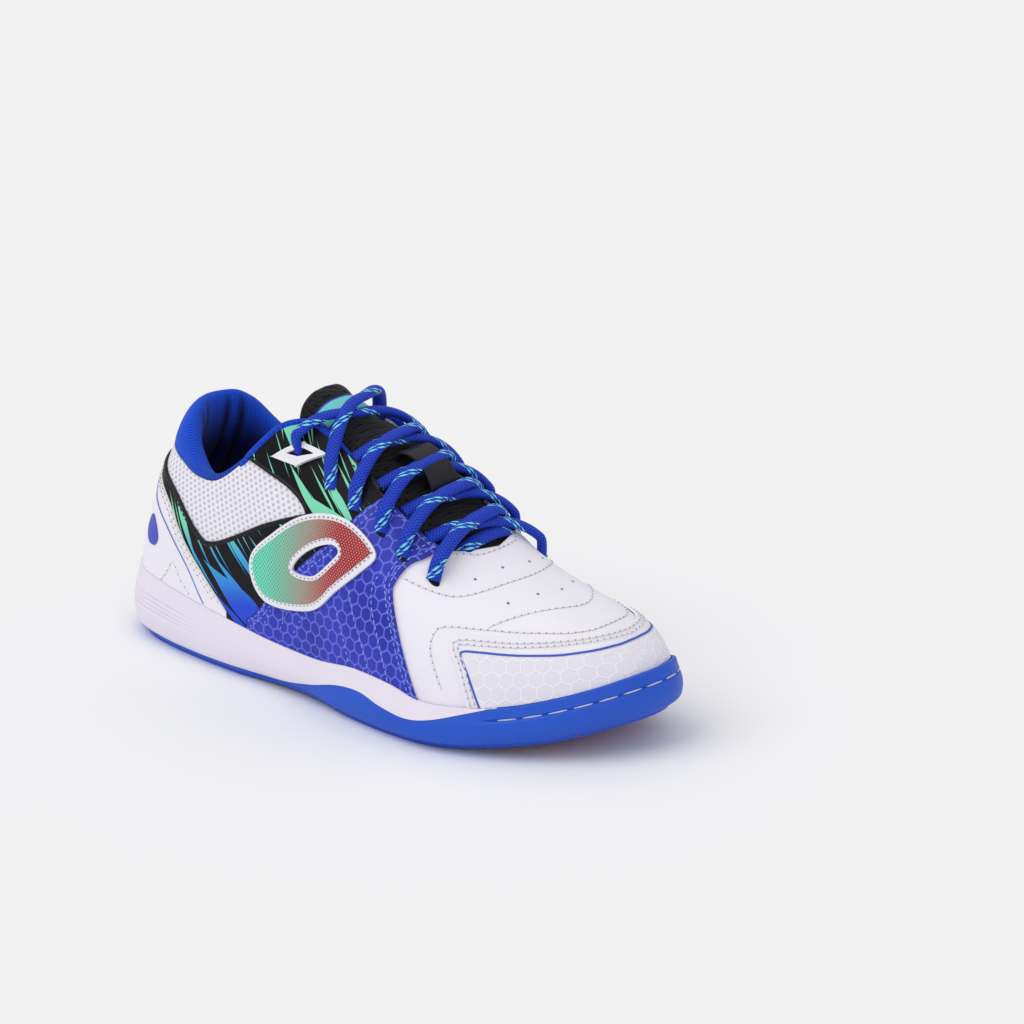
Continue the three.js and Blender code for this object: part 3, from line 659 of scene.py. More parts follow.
def printFinish():  # black film with long thin bent strokes, mint above, then pale blue, then blue
    made = Finish("blackPrint", Specular_IOR_Level=0.14)
    x, y, _ = made.split(made.place("flat"))
    lean = math.radians(printForm["lean"])
    run = x * math.cos(lean) + y * math.sin(lean)
    over = y * math.cos(lean) - x * math.sin(lean)
    over = over + (run / printForm["bend"]).math("SINE") * printForm["sway"]
    level = y - x * printForm["slope"]
    ink = made.blend(made.step(level, *printForm["blue"]), tone(40, 76, 214), tone(58, 160, 222))
    ink = made.blend(made.step(level, *printForm["mint"]), ink, tone(128, 220, 184))
    color = tone(16, 16, 21)
    for pitch, long, seed, fat, chance in printRows:
        row = (over / pitch + seed).math("FLOOR")
        luck = made.node("ShaderNodeTexWhiteNoise", {"noise_dimensions": "1D"}, {"W": row})
        spot = (run / long + luck * 7.0).math("FRACT")
        side = ((over / pitch + seed).math("FRACT") - 0.5 + (spot - 0.5) * (spot - 0.5) * 0.7).math("ABSOLUTE")
        tip = made.step(spot, 0.0, 0.45) * (1 - made.step(spot, 0.4, 0.95))
        color = made.blend(made.step(tip * fat - side, 0.0, 0.1 / pitch) * (luck > chance), color, ink)
    fine = made.noise(made.place(), 1.6, 3.0)
    return made.feed(Base_Color=color, Roughness=0.4 + made.noise(made.place(), 0.9, 3.0) * 0.14,
                     Normal=made.bump(fine, 0.1))


def foamFinish():
    made = Finish("foam", Specular_IOR_Level=0.35)
    x, _, z = made.split(made.place())
    hatch = ((x * 0.8 + z * 1.7) * (2 * math.pi / 1.25)).math("SINE")
    speck = made.noise(made.place(), 2.2, 3.0)
    shade = made.noise(made.place(), 0.03, 2.0)
    return made.feed(Base_Color=made.blend(shade, tone(229, 221, 236), tone(237, 231, 243)),
                     Roughness=0.58 + speck * 0.1, Normal=made.bump(hatch * 0.5 + speck * 0.5, 0.22))


def rubberFinish(name, tread):
    made = Finish(name, Specular_IOR_Level=0.42)
    x, y, _ = made.split(made.place())
    speck = made.noise(made.place(), 1.8, 3.0)
    color = made.blend(made.noise(made.place(), 0.04, 2.0), tone(14, 74, 192), tone(22, 88, 210))
    if tread:  # the front of the tread is tinted mint, then red
        front = made.blend(made.step(x + y * 0.5, 45.0, 75.0), tone(70, 190, 175), tone(160, 50, 80))
        color = made.blend(made.step(x, 0.0, 30.0), color, front)
    return made.feed(Base_Color=color, Roughness=0.42 + speck * 0.14, Normal=made.bump(speck, 0.3))


blackPrint = printFinish()
foam = foamFinish()
rubber = rubberFinish("rubber", False)
treadRubber = rubberFinish("treadRubber", True)


def knitFinish(name, dark, light, size, strength=0.6, deep=None):
    made = Finish(name, Sheen_Weight=0.08, Sheen_Roughness=0.5, Specular_IOR_Level=0.2)
    x, y, _ = made.split(made.place("flat"))
    column = ((x / size) * math.pi).math("SINE").math("ABSOLUTE")
    lean = ((x / size).math("FLOOR").math("PINGPONG", 1.0) - 0.5) * 2.0
    loop = ((y / size * 1.4 + lean * column * 0.5) * (2 * math.pi)).math("SINE") * 0.5 + 0.5
    height = column * 0.6 + loop * 0.4
    fuzz = made.noise(made.place(), 1.5, 3.0)
    color = made.blend(made.step(height + fuzz * 0.3, 0.35, 1.0), dark, light)
    if deep:  # painted shade: darker down inside the shoe, and a painted shadow along two folds
        color = made.blend(made.step(y, *deep), color, tone(9, 20, 96))
        # painted shadow in the two folds of the lining, below the roll
        foldShadow = 1 - made.step(((x.math("ABSOLUTE") - 22.0).math("ABSOLUTE") - 7.0).math("ABSOLUTE"), 0.2, 6.0)
        color = made.blend(foldShadow * made.step(y, 44.0, 62.0) * 0.9, color, tone(4, 9, 46))
    return made.feed(Base_Color=color, Roughness=0.85 + fuzz * 0.1, Normal=made.bump(height + fuzz * 0.4, strength))


# the lining's painted shade deepens from 54 to 80 mm down its map
collarKnit = knitFinish("collarKnit", tone(6, 40, 166), tone(28, 98, 244), 1.9, 1.0, (54, 80))
pipingKnit = knitFinish("pipingKnit", tone(6, 36, 160), tone(26, 84, 224), 1.2)
# blue knit of the foot bed, with painted shade making it dark deep inside the shoe
shadedBedKnit = knitFinish("shadedBedKnit", tone(10, 24, 96), tone(22, 50, 150), 1.6)


def openKnit():  # the tongue's black net: rows of holes between padded threads
    made = Finish("tongueNet", Sheen_Weight=0.15, Specular_IOR_Level=0.25)
    x, y, _ = made.split(made.place("flat"))
    far = dotWeb(x, y, 3.0, 2.1)
    hole = 1 - made.step(far, 0.03, 0.13)
    thread = ((x + y) * 4.0).math("SINE") * 0.5 + 0.5
    black = made.blend(thread, tone(16, 16, 20), tone(36, 36, 42))
    return made.feed(Base_Color=made.blend(hole, black, tone(2, 2, 4)),
                     Roughness=0.82 + thread * 0.1, Normal=made.bump((1 - hole) + thread * 0.2, 1.0))


tongueNet = openKnit()


def laceFinish():  # braid in blue with two pale tracer threads that turn round it
    made = Finish("laceBraid", Sheen_Weight=0.04, Specular_IOR_Level=0.25)
    x, y, _ = made.split(made.place("flat"))  # millimetres along, and turns around
    weave = (((x / 1.5 + y * 8.0).math("FRACT") - 0.5).math("ABSOLUTE")
             + ((x / 1.5 - y * 8.0).math("FRACT") - 0.5).math("ABSOLUTE"))
    turn = (x / 24.0 + y).math("FRACT")
    tick = (x / 1.9 + y * 6.0).math("FRACT") < 0.66
    first = (turn - 0.34).math("ABSOLUTE") < 0.028
    second = (turn - 0.46).math("ABSOLUTE") < 0.028
    blue = made.blend(made.step(weave, 0.25, 0.8), tone(10, 32, 140), tone(28, 76, 224))
    return made.feed(Base_Color=made.blend(tick * (first + second), blue, tone(132, 228, 226)),
                     Roughness=0.6 + weave * 0.1, Normal=made.bump(weave, 0.8))


def meshFinish():  # white spacer mesh with rows of soft hollows
    made = Finish("meshCloth", Specular_IOR_Level=0.3, Sheen_Weight=0.15)
    x, y, _ = made.split(made.place("flat"))
    far = dotWeb(x - y * 0.35, y + x * 0.12, 3.3, 2.15)
    hole = 1 - made.step(far, 0.03, 0.2)
    weave = ((x * 5.2).math("SINE") + (y * 5.2).math("SINE")) * 0.25 + 0.5
    return made.feed(Base_Color=made.blend(hole, tone(240, 238, 247), tone(198, 197, 210)),
                     Roughness=0.7 + weave * 0.1, Normal=made.bump((1 - hole) + weave * 0.12, 0.9))


def badgeFinish():  # shiny fine mesh that fades from mint to dark red
    made = Finish("badgeMesh", Specular_IOR_Level=0.45)
    x, y, _ = made.split(made.place("flat"))
    far = dotWeb(x, y, 1.5, 1.0)
    eye = 1 - made.step(far, 0.05, 0.16)
    fade = made.blend(made.step(x, 98.0, 124.0), tone(104, 226, 192), tone(150, 170, 150))
    fade = made.blend(made.step(x, 116.0, 142.0), fade, tone(160, 22, 32))
    eyes = made.blend(made.step(x, 108.0, 134.0), tone(26, 70, 66), tone(214, 160, 156))
    return made.feed(Base_Color=made.blend(eye * 0.75, fade, eyes), Roughness=0.3 + eye * 0.3,
                     Normal=made.bump(1 - eye, 0.5))


laceBraid = laceFinish()
meshCloth = meshFinish()
badgeMesh = badgeFinish()


def threadFinish(name, dark, light, rough=0.6):  # fine changes of tone along a thread or printed line
    made = Finish(name, Specular_IOR_Level=0.3)
    fine = made.noise(made.place(), 2.4, 2.0)
    return made.feed(Base_Color=made.blend(made.step(fine, 0.35, 0.65), dark, light), Roughness=rough + fine * 0.1,
                     Normal=made.bump(fine, 0.3))


# painted shade for the eyelet holes and under the loops' slits
holeShade = threadFinish("holeShade", tone(8, 8, 14), tone(16, 16, 26), 0.8)
threadWhite = threadFinish("threadWhite", tone(226, 224, 230), tone(244, 242, 247))
threadGrey = threadFinish("threadGrey", tone(104, 106, 124), tone(132, 134, 150))
needleHole = threadFinish("needleHole", tone(150, 148, 160), tone(172, 170, 180), 0.8)
threadBlue = threadFinish("threadBlue", tone(112, 136, 224), tone(150, 174, 242), 0.5)
threadBlack = threadFinish("threadBlack", tone(6, 6, 10), tone(14, 14, 18))
lineBlue = threadFinish("lineBlue", tone(56, 84, 204), tone(68, 98, 212), 0.5)
print("finishes made")


# Sole
soleCut = {"columns": 220, "ribDepth": 0.9, "ribLow": 0.45, "ribHigh": 0.72, "ribReach": 0.24,
           "groove": (0.715, 0.728, 0.762, 0.775), "grooveDepth": 0.9, "grooveStart": 0.81, "under": 12,
           "rows": 56, "floorColumns": 12, "floorInset": 7, "lipDraft": 0.2}


def wallPoint(at, side, share):  # on the outer wall of the sole, share from its foot to its rim
    inset = sideInset(share)
    ribs = 1 - smooth(soleCut["ribReach"] * 0.55, soleCut["ribReach"], at)
    if soleCut["ribLow"] < share < soleCut["ribHigh"]:
        turn = (share - soleCut["ribLow"]) / (soleCut["ribHigh"] - soleCut["ribLow"])
        inset += ribs * soleCut["ribDepth"] * math.sin(4 * math.pi * turn) ** 2
    low, lowIn, highIn, high = soleCut["groove"]
    deep = smooth(low, lowIn, share) * (1 - smooth(highIn, high, share))
    inset += deep * soleCut["grooveDepth"] * smooth(soleCut["grooveStart"], soleCut["grooveStart"] + 0.02, at)
    z = mix(bottomAt(at) + shoe["lug"] * (1 - share), rimAt(at), share)
    return planPoint(at, side, inset, z)


def shareOf(at, z):
    low = bottomAt(at) + shoe["lug"]
    return (z - low) / (rimAt(at) - low)


wallRows = [k / soleCut["rows"] for k in range(soleCut["rows"] + 1)]


def outsoleRing(at):
    top = min(1, shareOf(at, splitAt(at)))
    shares = [top * (1 - w) for w in wallRows]
    ring = [wallPoint(at, -1, s) for s in shares]
    columns = soleCut["floorColumns"]
    ring += [planPoint(at, -1 + 2 * k / columns, soleCut["floorInset"], bottomAt(at) + shoe["lug"])
             for k in range(columns + 1)]
    ring += [wallPoint(at, 1, s) for s in reversed(shares)]
    z = splitAt(at)
    lip = shoe["lip"] - shoe["gap"]
    deep = min(z - 1, featherAt(at) - shoe["gap"])
    inside = lip + soleCut["lipDraft"]
    ring += [planPoint(at, 1, lip, z), planPoint(at, 1, inside, deep)]
    ring += [planPoint(at, -1, inside, deep), planPoint(at, -1, lip, z)]
    return ring


def ringBody(name, stations, ringOf, material, closedEnds=False, flat=None):
    rings = [ringOf(at) for at in stations]
    columns, rows = len(rings) - 1, len(rings[0])
    place = lambda u, v: rings[round(u * columns)][round(v * rows) % rows]
    bm = grid(columns, rows, place, flat and (lambda u, v: flat(stations[round(u * columns)], v)), wrap=True)
    if closedEnds:
        bmesh.ops.holes_fill(bm, edges=[e for e in bm.edges if e.is_boundary], sides=0)
        bmesh.ops.recalc_face_normals(bm, faces=bm.faces)
    return finished(name, bm, material)


soleStations = [eased(k, soleCut["columns"]) for k in range(soleCut["columns"] + 1)]
outsole = ringBody("outsoleCup", soleStations, outsoleRing, rubber)
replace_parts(outsole, "outsole")


def midsoleRing(turn):  # turn from -1 at the lateral tip over 0 at the heel to 1
    at, side = splitEnd * turn * turn, math.copysign(1, turn)
    rim, low = rimAt(at), splitAt(at) + shoe["gap"]
    start = shareOf(at, low)
    ring = [wallPoint(at, side, mix(start, 1, w)) for w in wallRows]
    lip = shoe["lip"] - shoe["gap"]
    deep = min(max(low + 0.05, featherAt(at) - shoe["gap"]), rim - 0.05)
    under = mix(soleCut["under"], lip + 0.4, smooth(0.66, 0.73, at))
    ring += [planPoint(at, side, lip, rim), planPoint(at, side, lip + soleCut["lipDraft"], deep),
             planPoint(at, side, under, deep), planPoint(at, side, under, low)]
    return ring


midsole = ringBody("midsoleFoam", [k / 150 for k in range(-150, 151)], midsoleRing, foam,
                   closedEnds=True)
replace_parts(midsole, "midsole")


tread = {"inset": 7.6, "pitch": 11, "width": 6.5, "reach": ((0.06, 0.3), (0.54, 0.92)), "slot": 2.2,
         "pivotAt": 0.69, "pivotRadius": 15, "pivotClear": 3, "round": 0.6,
         "shortest": 3, "sunk": 0.5}


def treadBars():
    bm = bmesh.new()
    pivot = Vector((tread["pivotAt"] * shoe["length"], centreAt(tread["pivotAt"]) + 0.1 * shoe["ball"], 0))
    clear = tread["pivotRadius"] + tread["pivotClear"]
    high = shoe["lug"] + tread["sunk"]  # from the ground into the sole
    for rear, front in tread["reach"]:
        count = int((front - rear) * shoe["length"] / tread["pitch"])
        for k in range(count + 1):
            x = rear * shoe["length"] + k * tread["pitch"]
            at = (x - tread["inset"]) / (shoe["length"] - 2 * tread["inset"])
            shrink = 1 - 2 * tread["inset"] / shoe["ball"]
            middle, half = centreAt(at), halfAt(at) * shrink
            spans = [(middle - half, centreAt(0.2) - tread["slot"]), (centreAt(0.2) + tread["slot"], middle + half)]
            away = abs(x - pivot.x)
            if away < clear:
                free = math.sqrt(clear * clear - away * away)
                (a, b), (c, d) = spans
                spans = [(a, min(b, pivot.y - free)), (max(c, pivot.y + free), d)]
            for a, b in spans:
                if b - a < tread["shortest"]:
                    continue
                made = bmesh.ops.create_cube(bm, size=1)["verts"]
                for vert in made:
                    y = a if vert.co.y < 0 else b
                    spot = x + vert.co.x * tread["width"]
                    place = (spot - tread["inset"]) / (shoe["length"] - 2 * tread["inset"])
                    bend = centreAt(place) - centreAt(at)
                    if abs(y - (middle - half)) < 0.1 or abs(y - (middle + half)) < 0.1:
                        y += bend + math.copysign(halfAt(place) * shrink - half, y - middle)
                    z = bottomAt(place) + (0 if vert.co.z < 0 else high)
                    vert.co = inFrame(Vector((spot, y, z)))
    disc = bmesh.ops.create_cone(bm, cap_ends=True, segments=48, radius1=tread["pivotRadius"] / 1000,
                                 radius2=tread["pivotRadius"] / 1000, depth=high / 1000)["verts"]
    lift = inFrame(pivot + Vector((0, 0, bottomAt(tread["pivotAt"]) + high / 2)))
    bmesh.ops.translate(bm, verts=disc, vec=lift)
    bmesh.ops.bevel(bm, geom=bm.edges[:], offset=tread["round"] / 1000, offset_type="OFFSET", affect="EDGES",
                    segments=2, profile=0.5, material=-1, clamp_overlap=True)
    return finished("treadBars", bm, treadRubber)


treadBars()


edgeSection = [(5.2, 0.5), (5.5, 0.12), (6.0, 0), (7.4, 0), (8.2, 0.4), (8.4, 1.2), (8.4, 2.2), (5.2, 2.2),
               (5.0, 1.2)]  # inset from the plan outline, and height


def rimRing(turn):  # a low edge all round under the wall, which hides the ends of the bars
    at = eased(abs(turn))
    low = bottomAt(at)
    return [planPoint(at, math.copysign(1, turn), inset, low + up) for inset, up in edgeSection]


ringBody("soleEdge", [k / 120 for k in range(-120, 121)], rimRing, rubber)

toeStitch = {"from": 0.832, "share": 0.745, "long": 8.5, "pitch": 9.7, "thick": 0.75, "proud": 0.1,
             "steps": 160}


def toeStitches():  # long white threads in the groove of the toe wrap
    bm = bmesh.new()
    steps = toeStitch["steps"]
    line = [mix(toeStitch["from"], 1, math.sin(math.pi / 2 * k / steps)) for k in range(steps)]
    walk = [(at, -1) for at in line] + [(1, 1)] + [(at, 1) for at in line[::-1]]
    spots = [wallPoint(at, side, toeStitch["share"]) for at, side in walk]
    for k, t in spaced(measured(spots), toeStitch["pitch"]):
        centre, run = spots[k].lerp(spots[k + 1], t), (spots[k + 1] - spots[k]).normalized()
        out = run.cross(Vector((0, 0, 1))).normalized()
        out = out if out.dot(centre - Vector((200, centreAt(0.75), centre.z))) > 0 else -out
        thick = toeStitch["thick"]
        beads(bm, centre + out * toeStitch["proud"], run, out, (toeStitch["long"], thick, thick))
    return finished("toeWrapStitches", bm, threadWhite)


toeStitches()
print("sole made")


# Upper: one wall from toe round the heel to toe, open at collar, throat and underneath
def upperShell():
    columns, rows = 300, 44

    def place(u, v):
        turn = 2 * u - 1
        at = eased(abs(turn))
        side = 1 if turn > 0 else -1
        return at, onSide(side, edgeAt(at, side) * v)
    bm = grid(columns, rows, lambda u, v: upperPoint(*place(u, v), 0), lambda u, v: ridgeFlat(*place(u, v)))
    bmesh.ops.remove_doubles(bm, verts=bm.verts, dist=2e-6)
    turnOut(bm)
    piece = finished("upperShell", bm, whiteLeather)
    thicken(piece, shoe["wall"], -1)
    return piece


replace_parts(upperShell(), "upper")
print("upper made")


# Panels. Each line is a list of places: share of the length, share across from the feather edge
counterLine = smoothLine([(0, 0.26), (0.05, 0.24), (0.103, 0.2), (0.17, 0.125), (0.231, 0.071), (0.278, 0.03)])
meshLow = [(0, 0.285), (0.05, 0.268), (0.12, 0.223), (0.194, 0.16), (0.235, 0.152), (0.325, 0.219),
           (0.422, 0.32), (0.44, 0.36), (0.395, 0.405)]
meshEnd = {-1: 0.295, 1: 0.33}  # where the mesh window meets the collar again
panelRear = smoothLine([(0.324, 0.03), (0.352, 0.053), (0.406, 0.133), (0.433, 0.168), (0.491, 0.293),
                        (0.529, 0.452), (0.543, 0.543), (0.563, 0.698)])
panelFront = smoothLine([(0.672, 0.742), (0.66, 0.62), (0.647, 0.54), (0.637, 0.42), (0.638, 0.35), (0.669, 0.204),
                         (0.712, 0.03)])
capEdge = smoothLine([(0.796, 0.03), (0.772, 0.219), (0.752, 0.315), (0.75, 0.37), (0.765, 0.405), (0.79, 0.432),
                      (0.84, 0.49), (0.88, 0.57), (0.912, 0.7), (0.928, 0.85), (0.934, 1.0)])
capLine = smoothLine([(0.814, 0.03), (0.79, 0.2), (0.77, 0.3), (0.773, 0.33), (0.795, 0.35), (0.859, 0.399),
                      (0.903, 0.471), (0.934, 0.6), (0.95, 0.8), (0.954, 1.0)])
halfGap = shoe["gap"] / 2
top = shoe["gap"] + shoe["overlay"]  # outer face of the panels


proud = {"all": 0.16, "heel": 0.2, "fade": (0.2, 0.34)}


def heelLift(at):  # marks lie a little proud, more so on the leaning counter
    return proud["all"] + proud["heel"] * (1 - smooth(*proud["fade"], at))


def shifted(line, millimetres):
    return [(at + millimetres / shoe["length"], share) for at, share in line]


def meshEdge(side):
    line = smoothLine(meshLow + [(meshEnd[side], edgeAt(meshEnd[side], side))])
    return [(at, min(share, edgeAt(at, side))) for at, share in line]


def quarter(side):
    front = shifted(counterLine, halfGap)
    rear = shifted(panelRear, -halfGap)
    return (front[::-1] + meshEdge(side) + alongEdge(side, meshEnd[side], rear[-1][0])[1:]
            + rear[::-1] + alongFoot(rear[0][0], front[-1][0], shoe["onPanels"]))


def sidePanel(side):
    rear = shifted(panelRear, halfGap)
    return (rear + alongEdge(side, rear[-1][0], panelFront[0][0]) + panelFront
            + alongFoot(panelFront[-1][0], rear[0][0], shoe["onPanels"], 40))


def counter():
    line = shifted(counterLine, -halfGap)
    return line + alongFoot(line[-1][0], 0, shoe["onPanels"], 30)


def meshWindow(side):
    return meshEdge(side) + alongEdge(side, meshEnd[side], 0, 0.0, 40)[1:]


def bothSides(line):  # a line on the lateral side carried on over the ridge as its mirror image
    return line + [(at, 2 - share) for at, share in line[::-1]][1:]


def capOutline(line, tall):
    tip = next(k / 1000 for k in range(900, 1001) if footAt(k / 1000, tall) >= 0.999)
    foot = [(tip, 1.0)] + [p for p in alongFoot(tip, line[0][0], tall, 60) if p[1] < 0.98]
    return bothSides(foot + line)[:-1]


sides = ((-1, "lateral"), (1, "medial"))
thin = {"mesh": (0.12, 0.25), "emboss": 0.12, "drop": 0.25}  # thickness, for the mesh after its height
for side, word in sides:
    piece = panel("quarter_" + word + "_print", [on(side, quarter(side))], shoe["gap"], shoe["overlay"], blackPrint,
                  "quarter_print")
    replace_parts(piece, "quarter_" + word)
    piece = panel("side_overlay_" + word, [on(side, sidePanel(side))], shoe["gap"], shoe["overlay"], hexLeather,
                  "side_overlay")
    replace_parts(piece, "side_panel_" + word)
heel = panel("heelCounter", [on(side, counter()) for side, _ in sides], shoe["gap"], shoe["overlay"],
             whiteLeather, "vamp_leather")
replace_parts(heel, "heel_counter")
panel("heelMesh", [on(side, meshWindow(side)) for side, _ in sides], *thin["mesh"], meshCloth, "vamp_leather")
cap = panel("toeCapPanel", [capOutline(capEdge, shoe["onPanels"])], shoe["gap"], shoe["overlay"], whiteLeather,
            "vamp_leather")
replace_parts(cap, "toe_cap")
panel("toeCapEmboss", [capOutline(moved(-1, capLine, -1.0), top + 0.2)], top, thin["emboss"], capEmboss,
      "vamp_leather", toeFlat, rounding=0.05)
print("panels made")


# Collar: padded knit roll over the upper's edge, going on down inside as the lining
collarForm = {
    "at": [0, 0.02, 0.05, 0.1, 0.16, 0.22, 0.27, 0.32, 0.36, 0.4],
    "thick": [1, 1, 1, 1, 0.95, 0.85, 0.65, 0.4, 0.3, 0.24],
    "rise": [1, 0.96, 0.74, 0.45, 0.24, 0.17, 0.14, 0.12, 0.11, 0.1],
    "depth": [1, 1, 1, 1, 1, 1, 1, 1.05, 1.1, 1.1],
    "full": 10.4, "tall": 24.5, "liningDepth": 36, "end": 0.43, "inner": 2.7, "liningWall": 1.0,
    "pleats": (0.115, 0.2), "pleatDeep": 1.9, "pleatWide": 0.024, "steps": 130,
}
thickOf, riseOf, depthOf = (through(collarForm["at"], collarForm[key]) for key in ("thick", "rise", "depth"))
# The roll's section as places inwards and upwards, negative ones downwards inside
rollLine = smoothLine([(0.02, 0.0), (0.07, 0.12), (0.08, 0.4), (0.02, 0.66), (-0.14, 0.88), (-0.42, 1.0), (-0.74, 0.9),
                       (-0.97, 0.5), (-1.0, 0.0), (-0.9, -0.22), (-0.7, -0.45), (-0.52, -0.72), (-0.45, -1.0)], 3)


def collarRing(turn):  # turn from -1 at the lateral end over 0 at the heel to 1
    at, side = collarForm["end"] * turn * turn * (2 - abs(turn)), math.copysign(1, turn)
    thick = collarForm["full"] * thickOf(at)
    rise = collarForm["tall"] * riseOf(at)
    depth = collarForm["liningDepth"] * depthOf(at)
    opening = edgeAt(at, side)
    spot = lambda share: upperPoint(at, onSide(side, share), 0)
    reach = (spot(opening) - spot(opening - 0.05)).length / 0.05
    pleat = collarForm["pleatDeep"] * sum(math.exp(-((abs(turn) - p) / collarForm["pleatWide"]) ** 2)
                                          for p in collarForm["pleats"])
    outline = []
    for inward, up in rollLine:
        off = inward * thick
        if up < 0:
            off = min(off, -collarForm["inner"] - collarForm["liningWall"])
            off = min(off + pleat * smooth(0, -0.12, up), -collarForm["inner"] - 0.3)
        outline.append((up * (rise if up > 0 else depth), off))
    outline += [(-depth, -collarForm["inner"]), (0, -collarForm["inner"])]
    return [upperPoint(at, onSide(side, max(0.02, opening + (up + shoe["gap"]) / reach)), off)
            for up, off in outline]


collarTurns = [k / collarForm["steps"] for k in range(-collarForm["steps"], collarForm["steps"] + 1)]
collar = ringBody("collarRoll", collarTurns, collarRing, collarKnit, closedEnds=True,
                  flat=lambda turn, v: (turn * 150, v * 120))
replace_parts(collar, "collar")

piping = {"from": 0.25, "to": 0.49, "width": 2.9, "thick": 2.9, "lift": 0.7, "steps": 40, "inside": 0.006,
          "sinkFront": 2.4, "sinkRear": 3.2}


def pipingRoute(side):  # a cord of knit along the free edge, from the collar to the lacing
    out = []
    for k in range(piping["steps"] + 1):
        t = k / piping["steps"]
        at = mix(piping["from"], piping["to"], t)
        off = piping["lift"] - piping["sinkFront"] * smooth(0.8, 1, t) - piping["sinkRear"] * smooth(0.24, 0, t)
        out.append((at, onSide(side, edgeAt(at, side) + piping["inside"]), off))
    return out


rope("collarPiping", [pipingRoute(side) for side, _ in sides], piping["width"], piping["thick"], pipingKnit,
     "lining")

# Black edges: width, thickness and height over the upper, and where the throat's one runs on each side
trim = {"window": (2.4, 1.5, 0.7), "throat": (2.6, 1.9, 0.5), "from": 0.485, "to": (0.55, 0.69)}


def windowRoutes():  # a rounded black edge round the mesh window
    return [[(at, across, trim["window"][2] + heelLift(at))
             for at, across in on(side, moved(side, meshEdge(side), -0.5))] for side, _ in sides]


def throatRoutes():  # a shiny black edge beside the tongue
    return [[(at, across, trim["throat"][2]) for at, across in on(side, alongEdge(side, trim["from"], end, -0.008))]
            for (side, _), end in zip(sides, trim["to"])]


rope("windowTrim", windowRoutes(), *trim["window"][:2], shinyTrim, "quarter_print", 10)
rope("throatTrim", throatRoutes(), *trim["throat"][:2], shinyTrim, "quarter_print", 10)


# Tongue: padded net under the laces, its top lifted free
tongueForm = {"at": [0.362, 0.37, 0.39, 0.42, 0.46, 0.5, 0.6, 0.7, 0.76],
              "half": [0.24, 0.32, 0.38, 0.43, 0.46, 0.47, 0.45, 0.42, 0.34],
              "thick": 6.0, "drop": 2.4, "inside": 2.0, "lift": 3.6, "liftReach": 0.03, "round": 0.02,
              "around": 56, "square": 0.55, "full": 0.8, "steps": 130}
tongueHalf = through(tongueForm["at"], tongueForm["half"])
tongueTop, tongueToe = tongueForm["at"][0], tongueForm["at"][-1]


def tongueFace(at):
    lift = tongueForm["lift"] * (1 - smooth(tongueTop, tongueTop + tongueForm["liftReach"], at))
    inside = tongueForm["inside"] * (1 - smooth(collarForm["end"], collarForm["end"] + 0.05, at))
    return lift - tongueForm["drop"] - inside


def tongueRing(at):
    half = tongueHalf(at)
    near = min(at - tongueTop, tongueToe - at) / tongueForm["round"]
    plump = math.sqrt(1 - (1 - min(1, max(0, near))) ** 2)
    ring = []
    for k in range(tongueForm["around"]):
        angle = 2 * math.pi * k / tongueForm["around"]
        share = math.copysign(abs(math.cos(angle)) ** tongueForm["square"], math.cos(angle))
        lift = math.copysign(abs(math.sin(angle)) ** tongueForm["full"], math.sin(angle))
        deep = tongueForm["thick"] * max(plump, 0.05)
        off = tongueFace(at) - tongueForm["thick"] / 2 + lift * deep / 2
        ring.append(upperPoint(at, 1 + half * share * (0.9 + 0.1 * plump), off))
    return ring


tongueStations = [mix(tongueTop, tongueToe, (k / tongueForm["steps"]) ** 1.25)
                  for k in range(tongueForm["steps"] + 1)]
tongue = ringBody("tonguePad", tongueStations, tongueRing, tongueNet, closedEnds=True,
                  flat=lambda at, v: (v * 110, at * shoe["length"]))
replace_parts(tongue, "tongue")

patchForm = {"from": 0.39, "to": 0.418, "half": 0.22, "edge": 0.9, "off": 0.9, "wall": 0.7,
             "edgeSunk": 0.35, "edgeWall": 0.6, "girth": 55, "corner": (0.12, 0.05, 0.03)}


def patchOutline(grow):  # a plain bar with rounded corners across the top of the tongue
    reach = grow / shoe["length"]
    low, high = patchForm["from"] - reach, patchForm["to"] + reach
    half = patchForm["half"] + grow / patchForm["girth"]
    ring = [(low, 1 - half), (high, 1 - half), (high, 1 + half), (low, 1 + half)]
    out = []
    for k, (at, across) in enumerate(ring):
        (a1, c1), (a2, c2) = ring[k - 1], ring[(k + 1) % 4]
        far, near, tip = patchForm["corner"]
        out += [(mix(at, a1, t), mix(across, c1, t)) for t in (far, near)]
        out.append((mix(at, (a1 + a2) / 2, tip), mix(across, (c1 + c2) / 2, tip)))
        out += [(mix(at, a2, t), mix(across, c2, t)) for t in (near, far)]
    return out


lifted = lambda at, across: tongueFace(at)
panel("tonguePatchEdge", [patchOutline(patchForm["edge"])], patchForm["off"] - patchForm["edgeSunk"],
      patchForm["edgeWall"], bluePlate, "tongue_patch", ridgeFlat, lifted)
patch = panel("tonguePatch", [patchOutline(0)], patchForm["off"], patchForm["wall"], mintPlate, "tongue_patch",
              ridgeFlat, lifted)
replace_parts(patch, "tongue_patch")

keeper = {"from": 0.53, "to": 0.602, "half": 0.06, "wall": 1.3, "arch": 7.4, "full": 0.42, "waist": 0.25,
          "round": 0.4}


